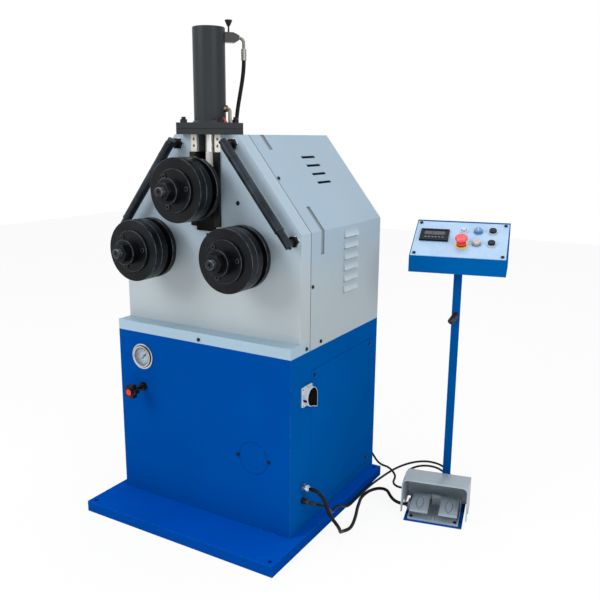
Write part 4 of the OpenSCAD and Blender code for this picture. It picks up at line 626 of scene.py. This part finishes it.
def fittingFinish():
    # hose fittings by place: black port block, dull elbow, grey ferrule, brass low elbow, red dust cap
    f = Finish("hoseFittingMetals")
    grain = f.noise(500, 3)
    outer = around(f.x, f.y, fittingSet["axis"]).ramp(*fittingSet["outer"])
    low = f.z.ramp(*fittingSet["low"])
    cap = low * f.y.ramp(*fittingSet["cap"])
    skin = f.mix(outer, "#131315", "#6d6a63")
    skin = f.mix(f.z.ramp(*fittingSet["ferrule"]) * outer, skin, "#8f8d86")
    skin = f.mix(cap, f.mix(low, skin, "#7d7563"), "#b92226")
    return f.feed(skin, grain * 0.15 + 0.22, (grain, 0.06, 0.0003), outer.most(low) * (1 - cap) * 0.9)


gaugeSet = {"centre": (-0.23, 0.519), "dial": (0.0286, 0.0284), "well": (-0.2225, -0.2215),
            "shadedGrooves": [(0.036, 0.0016, 0.001), (0.0294, 0.0012, 0.0007)]}


def gaugeFinish():
    # polished flange and ring, painted shade in rings at the bezel's foot and inside its rim, pale dial at
    # the bottom of the well
    f = Finish("gaugeChrome")
    radius = around(f.x, f.z, gaugeSet["centre"])
    dial = radius.ramp(*gaugeSet["dial"]) * f.y.ramp(*gaugeSet["well"])
    spin = f.noise(1, 2, f.vector(radius * 1500, 0, 0))
    skin = f.mix(f.noise(30, 3).ramp(0.3, 0.7), "#a9acaf", "#cfd2d5")
    outer, inner = (abs(radius - middle).ramp(*pair) for middle, *pair in gaugeSet["shadedGrooves"])
    grooveShade = outer.most(inner)
    skin = f.mix(grooveShade, skin, "#2b2c2e")
    skin = f.mix(dial, skin, f.mix(f.noise(900, 2), "#94a7b8", "#adbecb"))
    return f.feed(skin, spin * 0.12 + dial.most(grooveShade) * 0.3 + 0.12, (spin, 0.05, 0.0002),
                  (1 - dial) * (1 - grooveShade), 0.3)


def lensFinish():
    # clear gauge glass with a faint smear
    f = Finish("gaugeGlass")
    smear = f.noise(40, 3).ramp(0.5, 0.8)
    return f.feed("#e6eef2", smear * 0.1 + 0.04, alpha=smear * 0.05 + 0.05)


knobSet = {"centre": (-0.232, 0.416), "cap": (0.0104, 0.0101), "capFace": (-0.2895, -0.2902)}


def knobFinish():
    # black lobed grip with a red cap pressed into its middle
    f = Finish("knobBlackRed")
    cap = around(f.x, f.z, knobSet["centre"]).ramp(*knobSet["cap"]) * f.y.ramp(*knobSet["capFace"])
    cloud = f.noise(40, 3)
    skin = f.mix(cap, f.mix(cloud, "#0c0c0d", "#161618"), f.mix(cloud, "#c92d2f", "#e0393a"))
    return f.feed(skin, cloud * 0.12 + 0.3, (f.noise(700, 2), 0.08, 0.0004), gloss=0.25)


# power inlet on the side wall, in mm: square flange, round shroud with one square corner, insert and pins
inletSet = {
    "wall": 330, "middle": (-132, 466), "half": 31, "flange": 6, "square": 14, "radius": 30,
    "rows": [(0, 0.2), (0, 22), (0.6, 23), (1.9, 23), (2.5, 22.4), (2.5, 8), (30, 8)], "drop": 0.35,
    "pin": [(0, 0), (2.4, 0), (2.4, 8), (1.6, 9), (0, 9)], "pinRing": 9, "pinFoot": 8, "pins": 5,
    "hole": (25.6, 0.25, 450), "spokes": 72}
# its dark places, in metres from its middle and along x
inletDark = {
    "mouth": (0.0282, 0.0278), "quarter": 0.0002, "insert": (0.3363, 0.3368), "corner": (0.0255, 0.0255),
    "screw": (0.0026, 0.0021), "screwFace": (0.3372, 0.3366), "latch": (0.3436, -0.0075),
    "latchLong": (0.0066, 0.006), "latchHigh": (0.0048, 0.0042), "latchSide": (-0.018, -0.019)}


def inletFinish():
    # pale flange and shroud; near black inside the shroud's mouth; painted shade for the corner screw holes
    # and a latch slot
    f = Finish("inletGreyBlack")
    across, up = f.y - inletSet["middle"][0] * mm, f.z - inletSet["middle"][1] * mm
    (rim, clear), quarter = inletDark["mouth"], inletDark["quarter"]
    square = across.ramp(-quarter, 0) * across.ramp(rim, clear) * up.ramp(quarter, 0)
    square *= (up + across * inletSet["drop"]).ramp(-rim, -clear)
    inside = around(across, up, (0, 0)).ramp(rim, clear).most(square) * f.x.ramp(*inletDark["insert"])
    hole = around(abs(across), abs(up), inletDark["corner"]).ramp(*inletDark["screw"])
    latchX, latchUp = inletDark["latch"]
    latch = across.ramp(*inletDark["latchSide"]) * abs(f.x - latchX).ramp(*inletDark["latchLong"])
    latch *= abs(up - latchUp).ramp(*inletDark["latchHigh"])
    cloud = f.noise(30, 3)
    skin = f.mix(inside, f.mix(cloud, "#b4bfc6", "#ccd6db"), "#050505")
    skin = f.mix((hole * f.x.ramp(*inletDark["screwFace"])).most(latch), skin, "#060607")
    return f.feed(skin, cloud * 0.1 + inside * 0.4 + 0.35, (f.noise(800, 2), 0.08, 0.0004), gloss=0.12)


glandSet = {"level": (0.149, 0.151), "reach": (0.42, 0.41)}


def glandFinish():
    # nickel conduit gland above, its metal tinted blue and pale in patches as a painted reflection; black
    # plastic glands elsewhere
    f = Finish("glandNickelBlack")
    nickel = f.z.ramp(*glandSet["level"]) * f.x.ramp(*glandSet["reach"])
    grain = f.noise(300, 3)
    skin = f.mix(nickel, "#111112", f.mix(f.noise(160, 3).ramp(0.4, 0.6), "#54789a", "#b9c4cc"))
    return f.feed(skin, 0.46 - nickel * 0.22 + grain * 0.1, (grain, 0.08, 0.0003), nickel * 0.95)


fitmentSet = {
    "bezel": (0.0162, 0.0158), "tints": {"start": "#6288a8", "stop": "#8b8f95"}, "ring": (0.0225, 0.0222),
    "neck": (0.0152, 0.0156), "stem": (0.0078, 0.0082), "glow": (0.0118, 0.0112)}


def panelFittingFinish():
    # satin bezels, two of them tinted, yellow ring, black and red neck, pale lamp
    f = Finish("panelFittingMetals")
    s, t, n = (f.dot(f.place, tuple(way)) - float(faceFoot @ way) * mm for way in faceWays)
    reach = {name: around(s, t, np.array(markSet[name]) * mm)
             for name in ("start", "stop", "emergency", "lamp")}
    grain = f.noise(500, 3)
    ring, glow = reach["emergency"].ramp(*fitmentSet["ring"]), reach["lamp"].ramp(*fitmentSet["glow"])
    skin = f.mix(grain, "#b8bcc0", "#d4d8db")
    for name, colour in fitmentSet["tints"].items():
        skin = f.mix(reach[name].ramp(*fitmentSet["bezel"]), skin, colour)
    stem = f.mix(n.ramp(*fitmentSet["stem"]), "#131314", "#e0464a")
    skin = f.mix(ring, skin, f.mix(reach["emergency"].ramp(*fitmentSet["neck"]), stem, "#e4c61c"))
    return f.feed(f.mix(glow, skin, "#8faac2"), grain * 0.12 + 0.24, (grain, 0.05, 0.0003),
                  (1 - ring) * (1 - glow) * 0.45)


def panelFinish():
    # pale blue sprayed face with fine metallic specks
    f = Finish("panelPaleBlue")
    speck = f.noise(700, 2).ramp(0.56, 0.7)
    skin = f.mix(speck * 0.5, f.mix(f.noise(12, 3).ramp(0.3, 0.7), "#9bbad9", "#a9c5e2"), "#c4d8ec")
    return f.feed(skin, 0.46 - speck * 0.14, (speck, 0.05, 0.0003), speck * 0.2, 0.3)


def stripFinish():
    # ground pale steel strips with fine cross lines
    f = Finish("stripGroundSteel")
    lines = f.noise(1, 3, f.vector(f.x * 90, f.y * 300, f.z * 1600))
    skin = f.mix(f.noise(20, 3).ramp(0.3, 0.7), "#c9c5ba", "#e2dfd6")
    return f.feed(skin, lines * 0.2 + 0.26, (lines, 0.05, 0.0003), 0.45)


# the carriage's middle, round its notch, is painted near black as shade
# the rear plate is painted near black as shade within the first distance of the middle
slideShaftShade, carriageShadeCore = (0.105, 0.085), (0.0334, 0.0322)


def rearPlateFinish():
    # grey painted plate, painted near black as shade in the shaft of the slide
    f = Finish("greyRear")
    cloud = f.noise(12, 3).ramp(0.3, 0.7)
    clean, paintedShaftShade = f.mix(cloud, "#7a858e", "#88929a"), f.mix(cloud, "#0b0b0c", "#141415")
    skin = f.mix(abs(f.x).ramp(*slideShaftShade), clean, paintedShaftShade)
    return f.feed(skin, cloud * 0.1 + 0.48, (f.noise(300, 3), 0.08, 0.0004), gloss=0.2)


# turned-down shaft end: rows of radius and height in mm from the cut inside the nut, and the radius and level
# in metres of a painted highlight ring on it
tipSet = {"cut": -350, "rim": (0.0129, -0.382),
          "profile": [(0, 0), (16.4, 0), (16.4, 21.4), (14.2, 23.4), (14.2, 30.4), (12.6, 32), (5.4, 32),
                      (4.6, 31.2), (4.6, 25), (0, 24)]}
alongRod = (1, 1, 0.05)
finishes = {
    # base plate: its sides painted darker than its top, as painted shade
    "base_plate": bluePaint("bluePlate", "base_plate", "#0050b6", [fades["plateSideShade"]]),
    # cabinet: its right wall fades to the side tone, as painted light
    "cabinet": bluePaint("blueCabinet", "cabinet", fade=[fades["sideWallLight"]]),
    "side_panel": bluePaint("bluePanel", None, sideLitTone),
    "inspection_cover": bluePaint("blueCover"),
    "pedestal_plate": bluePaint("bluePedestal", "pedestal_plate"),
    "post": bluePaint("bluePost", "post", "#004e94"),
    "console_box": bluePaint("blueConsole", None, "#005599"),
    "bed_plate": paint("greyBed", "#9bb5c5", 0.44),
    # front plate: a fade greyer and less blue towards the bottom, as painted shade
    "front_plate": paint("greyFront", "#a6b9c7", 0.46, vary=0.04, seam=seams["slot"],
                         fade=[fades["frontLowShade"]]),
    "rear_plate": rearPlateFinish(),
    "tie_bars": paint("greyTies", greyTone, 0.46),
    # housing cover: a fade greyer and less blue towards the bottom, as painted shade
    "housing_cover": paint("greyCover", "#9cb2c3", 0.44, vary=0.03, seam=seams["cover"], slats=slatSet,
                           # the louvres paler where they stand out from the wall, as painted highlight
                           fade=[fades["coverLowShade"], fades["rightSlatHighlight"], fades["leftSlatHighlight"]]),
    "fasteners": blackOxide("screwBlack", "#0f0f10", "#232323"),
    "guide_strips": stripFinish(),
    "shaft_bushes": metal("bushBronze", "#a8824a", 0.36),
    # guide bars: dark steel tinted blue as a painted reflection of the pale surround
    "guide_bars": blackOxide("barSatinReflected", "#1b2026", "#2f3843", rough=0.42),
    "guide_bar_pegs": blackOxide("oxideSteel"),
    "cylinder_barrel": paint("slateBarrel", "#24282c", 0.4, gloss=0.22, vary=0.08, seam=seams["flange"]),
    "mount_flange": paint("slateFlange", "#23272b", 0.42, gloss=0.22, vary=0.08, seam=seams["flange"]),
    "hose_fittings": fittingFinish(),
    **dict.fromkeys(("gear_motor", "hydraulic_unit"), paint("machineGrey", "#5d6b78", 0.42)),
    "gauge_case": gaugeFinish(),
    "gauge_lens": lensFinish(),
    "gauge_needle": plastic("needleBlack", "#111112", 0.4),
    "relief_valve": blackOxide("valveBlack", "#101011", "#1e1e20"),
    "relief_knob": knobFinish(),
    "bleed_knob": plastic("blackPlastic", "#131316", 0.4, gloss=0.25),
    "power_inlet": inletFinish(),
    "cable_glands": glandFinish(),
    "post_grip": plastic("gripBlack", "#151517", 0.5, 500, 0.2),
    "console_panel": panelFinish(),
    "display": plastic("displayBlack", "#0d131c", 0.26, gloss=0.12),
    "panel_fittings": panelFittingFinish(),
    "footswitch_base": footPlastic("trayGrey", "#929da4"),
    "footswitch_hood": footPlastic("hoodGrey", "#9fadb5"),
    **{side + "_pedal": footPlastic(side + "PedalGrey", "#95a2ac") for side in ("left", "right")},
    "pedal_pin": metal("pinSteel", "#a5a8ab", 0.3),
    "carriage": blackOxide("carriageBlack", "#1a1b1d", "#27282a", core=carriageShadeCore),
    "piston_rod": metal("rodChrome", "#e4e2e1", 0.34, alongRod, 200, 0.04, 0.6),
    **dict.fromkeys(("left_gear", "right_gear", "drive_pinion"), metal("gearSteel", "#8f9296", 0.34)),
    "estop_plunger": plastic("plungerRed", "#d8383c", 0.36),
    "estop_head": plastic("stopRed", "#ef4b4f", 0.32, 700, 0.04),
    "start_button": plastic("startBlueGrey", "#5f8db4", 0.34),
    "stop_button": plastic("stopPaleGrey", "#b4b4b8", 0.36),
    **{way + "_button": plastic(way + "Black", "#161d28", 0.3, gloss=0.15) for way in ("up", "down")},
    **dict.fromkeys(paths, sheath),
}
# rims that carry painted highlight lines: each disc's edge, the hub's front and the boss
highlightRims = [(rollSet["radius"], level) for level in rollSet["discs"]]
highlightRims += [(rollSet["hub"], rollSet["hubFront"]), rollSet["boss"]]
turns = np.radians(rollSet["screwTurns"])
for side, centre in rollCentre.items():
    screws = centre + rollSet["screwRing"] * np.stack([np.cos(turns), np.sin(turns)], -1)
    finishes[side + "_rolls"] = blackOxide(side + "RollOxide", centre=centre, highlightRims=highlightRims, screws=screws)
    finishes[side + "_shaft"] = blackOxide(side + "ShaftSteel", "#1b1e22", "#2e3238", 0.32, centre,
                                           [tipSet["rim"]])
for name, piece in nodes.items():
    piece.data.materials.clear()
    piece.data.materials.append(finishes[name])
print("finishes set")


# Rounded edges: a merged copy of the piece stands for it, by width in mm

edgeSet = {
    0.4: "console_panel fasteners", 0.6: "hose_fittings", 0.9: "up_button down_button",
    0.5: "side_panel guide_strips left_shaft right_shaft upper_shaft cable_glands panel_fittings",
    0.7: "housing_cover left_rolls right_rolls upper_rolls start_button stop_button gauge_case bleed_knob",
    0.8: "inspection_cover pedestal_plate bed_plate guide_bar_pegs carriage relief_valve display "
         "footswitch_base",
    1: "cylinder_barrel", 1.2: "front_plate guide_bars mount_flange", 1.5: "post footswitch_hood",
    1.4: "left_pedal right_pedal estop_head", 1.6: "base_plate cabinet relief_knob", 1.8: "console_box"}
edgeAngles = {"flat": math.radians(0.4), "sharp": math.radians(32)}


def flatten(shell):
    bmesh.ops.dissolve_limit(shell, angle_limit=edgeAngles["flat"], verts=shell.verts, edges=shell.edges)


def softened(node, width):
    # triangles welded, flat neighbours joined, a small bevel where faces meet at an angle
    source = nodes[node].data
    corner = np.empty(len(source.vertices) * 3, np.float32)
    source.vertices.foreach_get("co", corner)
    places, index = np.unique(corner.reshape(-1, 3).astype(float).round(6), axis=0, return_inverse=True)
    loops = np.empty(len(source.loops), np.int32)
    source.loops.foreach_get("vertex_index", loops)
    faces = index.ravel()[loops].reshape(-1, 3)
    whole = (faces != np.roll(faces, 1, axis=1)).all(axis=1)
    mesh = bpy.data.meshes.new(node + "Edged")
    mesh.from_pydata(places.tolist(), [], faces[whole].tolist())
    reworked(mesh, flatten)
    piece = dressed(node + "Edged", mesh, node)
    bevel = piece.modifiers.new("edges", "BEVEL")
    bevel.width, bevel.segments, bevel.limit_method = width * mm, 2, "ANGLE"
    bevel.angle_limit, bevel.harden_normals, bevel.use_clamp_overlap = edgeAngles["sharp"], True, True
    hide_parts(node)
    return piece


def notched(piece, low, high):
    # a box cut out of the piece's mesh, its corners in mm
    corners = np.stack(np.meshgrid(*zip(low, high), indexing="ij"), -1).reshape(-1, 3) * mm
    sides = [(0, 1, 3, 2), (4, 6, 7, 5), (0, 4, 5, 1), (2, 3, 7, 6), (0, 2, 6, 4), (1, 5, 7, 3)]
    block = bpy.data.meshes.new("notch")
    block.from_pydata(corners.tolist(), [], sides)
    cutter = placed("notch", block)
    cut = piece.modifiers.new("notch", "BOOLEAN")
    cut.operation, cut.solver, cut.object = "DIFFERENCE", "EXACT", cutter
    piece.modifiers.move(len(piece.modifiers) - 1, 0)
    bevel = piece.modifiers["edges"]
    bevel.show_viewport = False
    whole = bpy.data.meshes.new_from_object(piece.evaluated_get(bpy.context.evaluated_depsgraph_get()))
    bevel.show_viewport = True
    piece.modifiers.remove(cut)
    bpy.data.objects.remove(cutter)
    piece.data = whole


def cutShaft(shell):
    bmesh.ops.bisect_plane(shell, geom=[*shell.verts, *shell.edges, *shell.faces], clear_outer=True,
                           plane_co=(0, tipSet["cut"] * mm, 0), plane_no=forward)


edged = {name: softened(name, width) for width, names in edgeSet.items() for name in names.split()}

# each shaft ended inside its nut, and the turned-down end set there
for side, (x, z) in rollCentre.items():
    node = side + "_shaft"
    reworked(edged[node].data, cutShaft)
    meshPiece(side + "Tip", [turnedGrid(tipSet["profile"], (x / mm, tipSet["cut"], z / mm), forward)], node)

# open notch in the top of the carriage's front, where the rod runs down to its seat
notchSet = {
    "low": (-32.6, -181, 1124), "high": (32.6, -118, 1180), "seat": (0, -143, 1124),
    "rod": [(0, 0), (17.98, 0), (17.98, 3), (16.48, 4.5), (14.98, 4.5), (14.98, 49.4), (0, 49.4)]}
notched(edged["carriage"], notchSet["low"], notchSet["high"])
# the rod's foot is paler and less metallic than the rod, as painted light against the notch's shade
meshPiece("rodFoot", [turnedGrid(notchSet["rod"], notchSet["seat"], upright, 48)], "piston_rod",
          metal("rodFootPaintedLight", "#f4f3f2", 0.34, alongRod, 200, 0.04, 0.2))
print("edges rounded on", len(edged), "pieces")


# Small pieces on the console, gauge, front plate, pedals, inlet, post and hose

segmentPlaces = dict(zip("abcdefg", [(0, 1), (1, 0.5), (1, -0.5), (0, -1), (-1, -0.5), (-1, 0.5), (0, 0)]))
digitSegments = "abcdef bc abdeg abcdg bcfg acdfg acdefg".split()
barShares = (0.8, 0.42)  # length of a level bar and of an upright one


def digitGrids(text, place, ways, half, step, stroke, rise):
    # bars of seven-segment figures, a step apart
    right, up, _ = ways
    grids = []
    for i, figure in enumerate(text):
        for segment in digitSegments[int(figure)]:
            across, along = segmentPlaces[segment]
            s = (i - (len(text) - 1) / 2) * step + across * half[0]
            bar = (half[0] * barShares[0], stroke) if across == 0 else (stroke, half[1] * barShares[1])
            grids.append(padGrid(place + s * right + along * half[1] * up, ways, bar, rise, spokes=12))
    return grids


displaySet = {
    "middle": (-84, 112), "level": 5, "pane": (34, 10.5), "paneUp": 9, "paneRise": 0.8,
    "reading": "001500", "digit": (2.6, 5.2), "digitStep": 10.4, "stroke": 0.55, "digitRise": 0.15,
    "keys": 6, "keyStep": 11, "keyRow": -13.5, "key": (3.4, 1.5), "keyRise": 0.9, "keyCrown": 0.25}
(s0, t0), level, paneRise = picked(displaySet, "middle level paneRise")
panePlace, paneTop = (facePlace(s0, t0 + displaySet["paneUp"], level + rise) for rise in (0, paneRise))
meshPiece("displayPane", [padGrid(panePlace, faceWays, displaySet["pane"], paneRise)], "display",
          plastic("paneGrey", "#41464c", 0.22, 300, 0.02, gloss=0.2))
figures = digitGrids(displaySet["reading"], paneTop, faceWays,
                     *picked(displaySet, "digit digitStep stroke digitRise"))
meshPiece("displayReading", figures, "display", plastic("readingPale", "#7d7a72", 0.4))
keyRow = (np.arange(displaySet["keys"]) - (displaySet["keys"] - 1) / 2) * displaySet["keyStep"]
keyPads = [padGrid(facePlace(s0 + s, t0 + displaySet["keyRow"], level), faceWays,
                   *picked(displaySet, "key keyRise keyCrown")) for s in keyRow]
meshPiece("displayKeys", keyPads, "display", plastic("keyPale", "#7f93ab", 0.4))

# bar and ring marks on two buttons, and a lamp glass: a dome with ripples by radius
markFoot = facePlace(*markSet["start"], markSet["top"] - markSet["sunk"])
meshPiece("startMark", [padGrid(markFoot, faceWays, markSet["bar"], markSet["rise"])], "start_button",
          plastic("markWhite", "#dfe8ee", 0.4))
meshPiece("stopMark", [turnedGrid(wireProfile(markSet["ring"], *markSet["wire"]),
                                  facePlace(*markSet["stop"], markSet["top"]), faceOut)],
          "stop_button", plastic("markPink", "#c98587", 0.4))
ribShare = np.linspace(0, 1, 25)
rise, foot, radius, ribs, ribRise = picked(markSet, "lampRise lampFoot lampRadius ribs ribRise")
ribHeight = rise * (1 - ribShare ** 2) + ribRise * (1 - np.cos(2 * np.pi * ribs * ribShare))
ribProfile = np.vstack([(0, foot), (radius, foot), np.stack([radius * ribShare, ribHeight], -1)[::-1]])
meshPiece("lampGlass", [turnedGrid(ribProfile, facePlace(*markSet["lamp"], markSet["lampTop"]), faceOut)],
          "panel_fittings", plastic("lampMilk", "#bdd0e2", 0.16, 300, 0.02))

# ticks and figures round the gauge's dial
dialSet = {
    "centre": (-230, -215.5, 519), "radius": 25.4, "start": 225, "sweep": 270, "steps": 30,
    "tick": (1.2, 0.22), "majorTick": (2.2, 0.36), "rise": 0.12, "figures": "0123456", "figureRadius": 18.2,
    "figure": (0.8, 1.5), "stroke": 0.24, "major": 5}
dialWays = (alongX, upright, forward)


def dialSpot(share, radius):
    # place at a radius in mm on the dial, with the directions out and along the rim
    angle = math.radians(dialSet["start"] - share * dialSet["sweep"])
    out = math.cos(angle) * alongX + math.sin(angle) * upright
    along = math.cos(angle) * upright - math.sin(angle) * alongX
    return np.array(dialSet["centre"]) + radius * out, out, along


dialMarks = []
steps, figures, stroke, rise = picked(dialSet, "steps figures stroke rise")
for step in range(steps + 1):
    half = dialSet["tick" if step % dialSet["major"] else "majorTick"]
    place, out, along = dialSpot(step / steps, dialSet["radius"] - half[0])
    dialMarks.append(padGrid(place, (out, along, forward), half, rise, spokes=12))
for i, figure in enumerate(figures):
    place = dialSpot(i / (len(figures) - 1), dialSet["figureRadius"])[0]
    dialMarks += digitGrids(figure, place, dialWays, dialSet["figure"], 0, stroke, rise)
meshPiece("dialMarks", dialMarks, "gauge_case", plastic("dialInk", "#1d232a", 0.5))

# pale washers where the guide bars' pegs enter the front plate
plateFace = -168
washerSet = {"pegs": [(100, 1196), (308, 931)],
             "profile": [(9.3, 0), (17, 0), (17, 2.5), (16.1, 3.4), (9.9, 3.4), (9.3, 2.8), (9.3, 0)]}
meshPiece("pegWashers", [turnedGrid(washerSet["profile"], (side * x, plateFace, z), forward)
                         for side in (-1, 1) for x, z in washerSet["pegs"]],
          "front_plate", metal("washerZinc", "#c3c9ce", 0.34))

# socket screws in the front plate's holes, the one in the slide's path sunk
plugSet = {"holes": [(-114, 1028, "proud"), (114, 1028, "proud"), (0, 928, "sunk")],
           "proud": [(0, -2), (3, -2), (3.2, 0.9), (5.6, 1.2), (6.4, 0.6), (6.4, -0.3), (0, -0.3)],
           "sunk": [(0, -3.4), (2.2, -3.4), (2.4, -1.2), (3.8, -1), (4.3, -1.5), (4.3, -6), (0, -6)]}
meshPiece("plateScrews", [turnedGrid(plugSet[kind], (x, plateFace, z), forward)
                          for x, z, kind in plugSet["holes"]],
          "front_plate", blackOxide("plugBlack", "#060606", "#0e0e0f"))

# stud ends above the nuts of the cylinder's flange
studSet = {"x": 68, "y": (-182.5, -110.5), "foot": 1264.9,
           "profile": [(0, 0), (9.2, 0), (9.2, 1.4), (6.6, 1.6), (6.6, 7.4), (5.4, 8.6), (0, 8.6)]}
meshPiece("flangeStuds", [turnedGrid(studSet["profile"], (side * studSet["x"], y, studSet["foot"]), upright)
                          for side in (-1, 1) for y in studSet["y"]],
          "mount_flange", blackOxide("studBlack", "#131415", "#232527"))

# collars on the guide bars below their upper pegs and above the slimmer ends
collarSet = {"top": (100, -210, 1196), "low": (308, -210, 931), "places": (46, 296),
             "profile": [(12.7, -2.6), (14.2, -2.6), (14.7, -2), (14.7, 2), (14.2, 2.6), (12.7, 2.6),
                         (12.7, -2.6)]}
collars = []
for side in (-1, 1):
    top, low = (np.array(collarSet[end]) * (side, 1, 1) for end in ("top", "low"))
    way = unit(low - top)
    collars += [turnedGrid(collarSet["profile"], top + run * way, way) for run in collarSet["places"]]
meshPiece("barCollars", collars, "guide_bars", blackOxide("collarSatin", "#1b1d20", "#2c3035"))

# leaf outlines embossed on the pedals: two arcs raised on the slope of each plate
leafSet = {"middle": (47, 48, 46.5), "tilt": 12.6, "radius": 50, "half": 11, "rise": 0.8, "wire": 1}
leafUp, leafOut = sloped(leafSet["tilt"])
(u, v, z), leafRadius = leafSet["middle"], leafSet["radius"]
chord = leafRadius - leafSet["half"]
leafAngle = np.linspace(-1, 1, 33)[:, None] * math.acos(chord / leafRadius)
for side, node in ((-1, "left_pedal"), (1, "right_pedal")):
    arcs = [onStand(side * u, v, z) + bulge * (leafRadius * np.cos(leafAngle) - chord) * standRight
            + leafRadius * np.sin(leafAngle) * leafUp + leafSet["rise"] * leafOut for bulge in (-1, 1)]
    meshPiece(node + "Leaf", [tubeGrid(arc * mm, leafSet["wire"] * mm, 12) for arc in arcs], node,
              footPlastic(node + "LeafGrey", "#69757e"))

# inlet: a circle with one quarter drawn out to a corner, through rows of inset and height
(inletSide, inletUp), wall, spokes = picked(inletSet, "middle wall spokes")
inset, out = np.array(inletSet["rows"], float).T[:, :, None]
arch = np.linspace(0, 2 * np.pi, spokes, endpoint=False)
archSide, archUp = np.cos(arch), np.sin(arch)
cornered = (archSide > 0) & (archUp < 0)
stretch = 1 / np.where(cornered, np.maximum(np.abs(archSide), np.abs(archUp)), 1)
archSide, archUp = archSide * stretch, archUp * stretch
archUp *= np.where(cornered, 1 + inletSet["drop"] * archSide, 1)
reach = inletSet["radius"] - inset
shroud = np.broadcast_arrays(wall + out, inletSide + reach * archSide, inletUp + reach * archUp)
inletFoot = np.array((wall, inletSide, inletUp))
flangeGrid = padGrid(inletFoot, (acrossY, upright, alongX), (inletSet["half"],) * 2, inletSet["flange"],
                     square=inletSet["square"], spokes=spokes)
pinTurn = np.arange(inletSet["pins"])[:, None] * 2 * np.pi / inletSet["pins"]
pinRing = inletSet["pinRing"] * (np.cos(pinTurn) * acrossY + np.sin(pinTurn) * upright)
pinPlaces = inletFoot + inletSet["pinFoot"] * alongX + pinRing
pinGrids = [turnedGrid(inletSet["pin"], place, alongX, 16) for place in pinPlaces]
inlet = meshPiece("inletShell", [np.stack(shroud, -1) * mm, flangeGrid] + pinGrids, "power_inlet")
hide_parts("power_inlet")

# flush disc that closes the part of the wall's hole beside the inlet
holeRadius, holeProud, holeUp = inletSet["hole"]
discRows = [(0, 0), (holeRadius, 0), (holeRadius, holeProud), (0, holeProud)]
meshPiece("inletDisc", [turnedGrid(discRows, (wall, inletSide, holeUp), alongX, 48)], "cabinet")

# grip leaning down and to the left from a boss on the post's front
gripSet = {"foot": (20, 187.5, 654), "lean": (-0.4, -0.72, -0.56),
           "peg": [(0, -5), (10.4, -5), (10.4, 4), (11, 5), (11, 29.5), (10.2, 32), (8.5, 33.4), (4.6, 33.4),
                   (3.6, 32.2), (0, 32.2)],
           "boss": [(0, -1), (11.6, -1), (11.6, 2.4), (10.6, 3.4), (0, 3.4)]}
gripFoot = onStand(*gripSet["foot"])
gripWay = unit(np.array(gripSet["lean"]) @ np.stack((standRight, standBack, upright)))
grip = meshPiece("gripPeg", [turnedGrid(gripSet["peg"], gripFoot, gripWay),
                             turnedGrid(gripSet["boss"], gripFoot, -standBack)], "post_grip")
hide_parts("post_grip")

# crimped rings round the hose's ferrule
crimpSet = {"low": 1438, "step": 6.2, "rings": 5, "core": 7, "radius": 8.1, "half": 1.9}
low, step, core, radius = picked(crimpSet, "low step core radius")
crimpProfile = wireProfile(core, radius - core, crimpSet["half"])
crimpX, crimpY, _ = hoseRoute(hoseSet)[0]
crimpLevels = low + step * np.arange(crimpSet["rings"])
crimps = [turnedGrid(crimpProfile, (crimpX, crimpY, level), upright, 28) for level in crimpLevels]
meshPiece("ferruleCrimps", crimps, "hose_fittings", metal("ferruleIvory", "#97958d", 0.36))
print("small pieces set")


# Stage: pale floor, soft box lights, white surround for the camera

stageSet = {"floor": 14, "ambient": 0.5, "floorWhite": 0.9}
# each lamp's place, aim, size and power
lampSet = {"keyBox": ((-1.6, -3.4, 3), (0.1, 0, 0.8), 2.4, 84),
           "fillBox": ((3.6, -1.2, 2.2), (0.1, 0, 0.7), 2.4, 42),
           "topBox": ((0.4, 0.4, 4.2), (0.1, 0, 0.6), 2.6, 40),
           "frontBox": ((2.3, -3.9, 0.9), (0.2, 0, 0.5), 2, 22)}
half, white = stageSet["floor"] / 2, (1, 1, 1, 1)
floorMesh = bpy.data.meshes.new("floor")
corners = [(-half, -half, 0), (half, -half, 0), (half, half, 0), (-half, half, 0)]
floorMesh.from_pydata(corners, [], [(0, 1, 2, 3)])
placed("floor", floorMesh)
pale = Finish("floorPale")
pale.feed(pale.mix(pale.noise(3, 3), "#fafafa", "#fdfdfd"), 0.8)
glow = pale.add("Emission", {"Color": white, "Strength": 1})
pale.put(pale.end.inputs[0], pale.add("MixShader", {
    0: pale.seenWhite() * stageSet["floorWhite"], 1: pale.shader, 2: glow}))
floorMesh.materials.append(pale.material)

world = bpy.data.worlds.new("surround")
world.use_nodes = True
scene.world = world
sky = Wiring(world.node_tree)
strength = sky.seenWhite() * (1 - stageSet["ambient"]) + stageSet["ambient"]
sky.add("OutputWorld", {0: sky.add("Background", {"Color": white, "Strength": strength})})

for name, (place, aim, size, power) in lampSet.items():
    lamp = placed(name, bpy.data.lights.new(name, "AREA"))
    lamp.data.shape, lamp.data.size, lamp.data.energy = "DISK", size, power
    way = Vector(aim) - Vector(place)
    lamp.matrix_world = Matrix.Translation(place) @ way.to_track_quat("-Z", "Y").to_matrix().to_4x4()
print("stage set")
